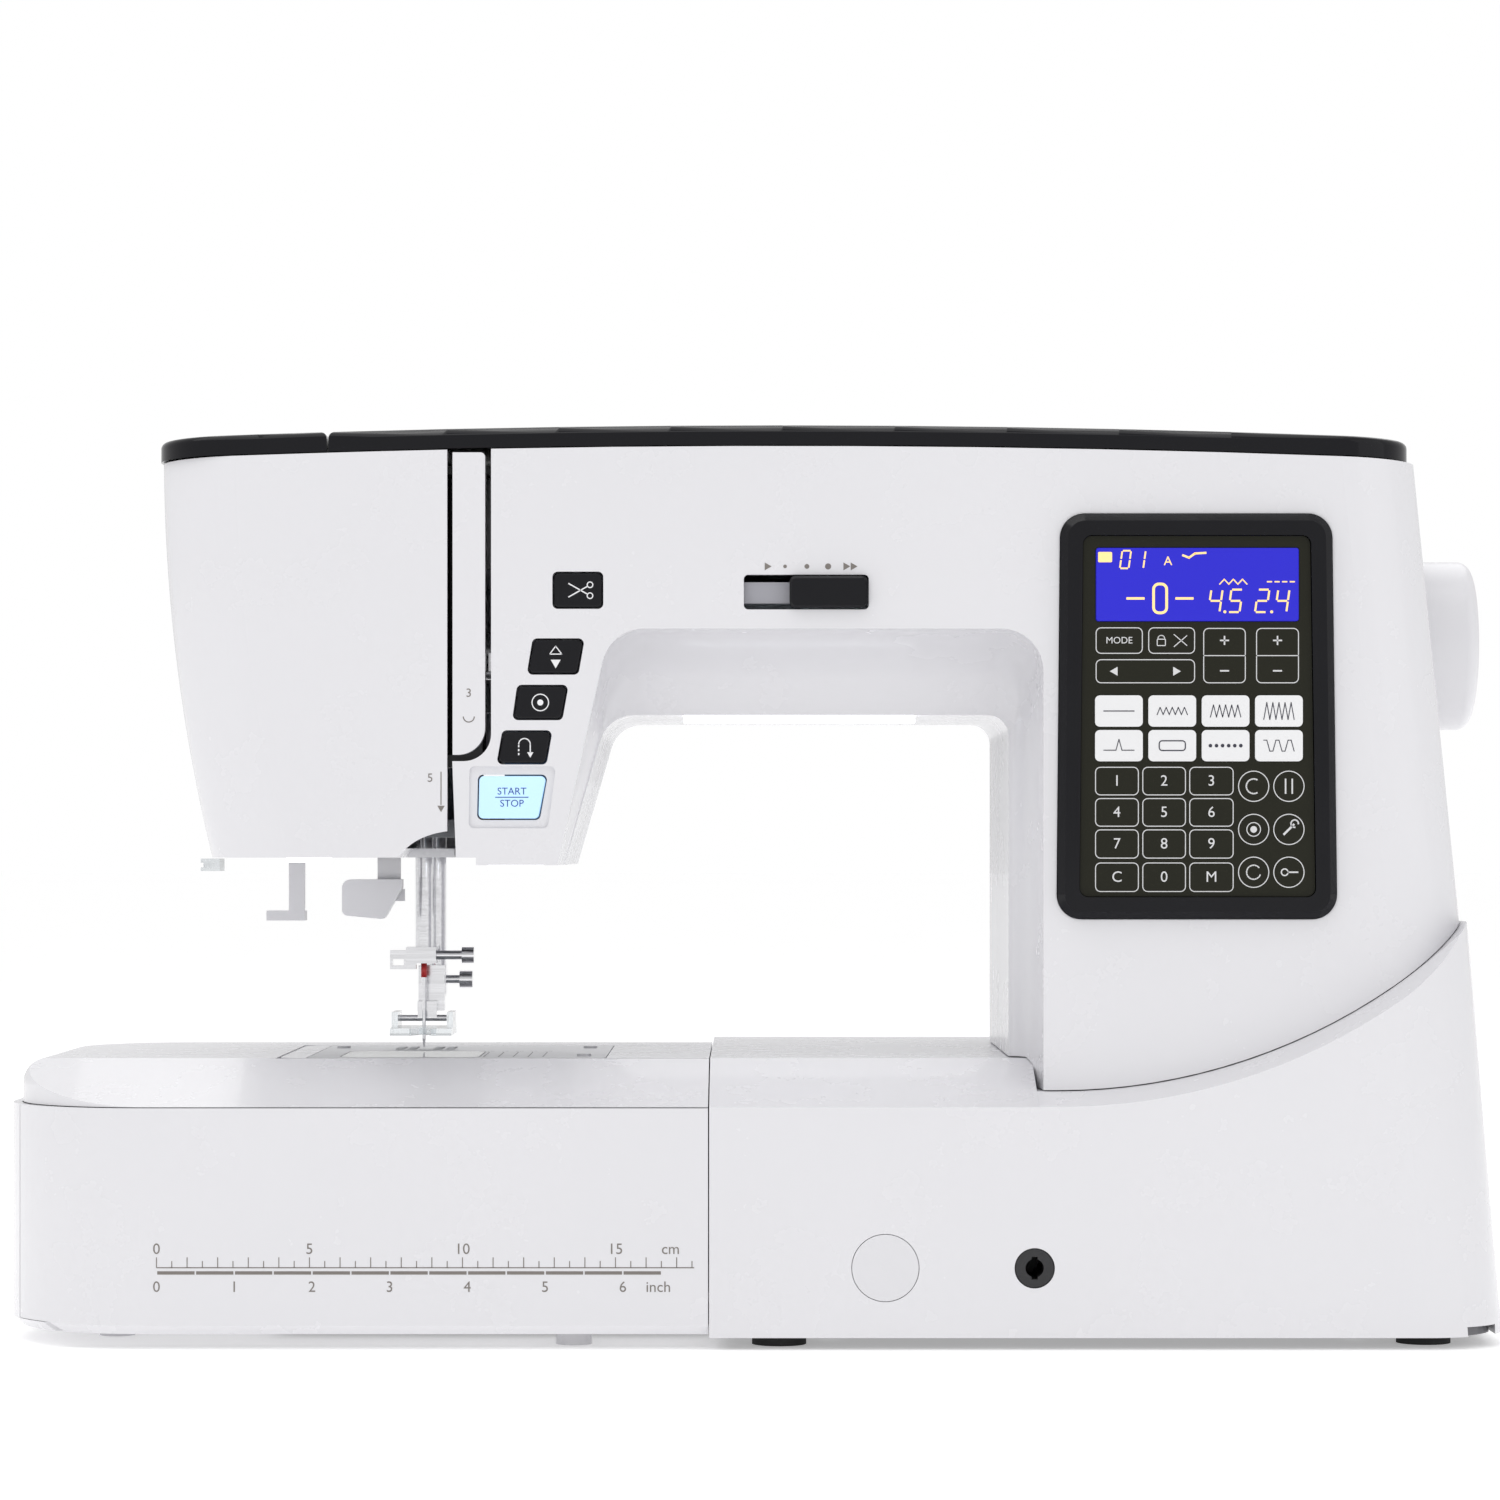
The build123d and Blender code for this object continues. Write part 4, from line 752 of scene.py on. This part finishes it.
class SEWING_OT_stage(bpy.types.Operator):
    """Sets the floor, the soft lights and the camera"""
    bl_idname = "sewing.stage"
    bl_label = "Stage"

    def execute(self, context):
        scene = context.scene
        look = scene.sewing_stage
        bm = bmesh.new()
        bmesh.ops.create_grid(bm, x_segments=1, y_segments=1, size=look.floor_size)
        mesh = bpy.data.meshes.new("floor")
        bm.to_mesh(mesh)
        bm.free()
        floor = bpy.data.objects.new("floor", mesh)
        scene.collection.objects.link(floor)
        mesh.materials.append(plastic("floor", (0.90, 0.90, 0.90), 0.6, 0.05, 40, 0.01, 0.02, 0.0,
                                      Emission_Color=(1, 1, 1, 1), Emission_Strength=0.32))
        camera = bpy.data.objects.new("camera", bpy.data.cameras.new("camera"))
        scene.collection.objects.link(camera)
        camera.data.lens = look.lens
        camera.data.sensor_width = 36
        camera.data.shift_y = 0.0667
        camera.location = (-1.65 * MM, CAD_BOX[0][1] - look.distance, look.height)
        camera.rotation_euler = (math.radians(90), 0, 0)
        scene.camera = camera
        for name, place, size, power in AREA_LIGHTS:
            light = bpy.data.objects.new(name, bpy.data.lights.new(name, "AREA"))
            scene.collection.objects.link(light)
            light.data.size = size
            light.data.energy = power
            light.location = place
            light.rotation_euler = (Vector((0, 0, 0.14)) - Vector(place)).to_track_quat("-Z", "Y").to_euler()
        world = bpy.data.worlds.new("studio")
        world.use_nodes = True
        background = world.node_tree.nodes["Background"]
        background.inputs["Color"].default_value = (1, 1, 1, 1)
        sight = world.node_tree.nodes.new("ShaderNodeLightPath")
        strength = span(world.node_tree, sight.outputs["Is Camera Ray"], 0.0, 1.0, AMBIENT, 1.0)
        world.node_tree.links.new(strength, background.inputs["Strength"])
        scene.world = world
        scene.view_settings.view_transform = "Standard"
        return {"FINISHED"}


class SEWING_PT_panel(bpy.types.Panel):
    """Lists the pieces of the sewing machine"""
    bl_idname = "SEWING_PT_panel"
    bl_label = "Sewing Machine"
    bl_space_type = "VIEW_3D"
    bl_region_type = "UI"
    bl_category = "Sewing"

    def draw(self, context):
        for maker in OPERATORS:
            self.layout.operator(maker.bl_idname)


OPERATORS = (SEWING_OT_finishes, SEWING_OT_ruler, SEWING_OT_keypad, SEWING_OT_screen, SEWING_OT_buttons,
             SEWING_OT_thread_marks, SEWING_OT_plate_marks, SEWING_OT_vents, SEWING_OT_stage)
SETTINGS = {"sewing_finish": FinishSettings, "sewing_print": PrintSettings, "sewing_stage": StageSettings}


def register():
    for kind in (*SETTINGS.values(), *OPERATORS, SEWING_PT_panel):
        bpy.utils.register_class(kind)
    for name, kind in SETTINGS.items():
        setattr(bpy.types.Scene, name, bpy.props.PointerProperty(type=kind))


def unregister():
    for name in SETTINGS:
        delattr(bpy.types.Scene, name)
    for kind in (SEWING_PT_panel, *reversed(OPERATORS), *reversed(tuple(SETTINGS.values()))):
        bpy.utils.unregister_class(kind)


def main():
    register()
    for maker in OPERATORS:
        getattr(bpy.ops.sewing, maker.bl_idname.split(".")[1])()


if __name__ == "__main__":
    main()
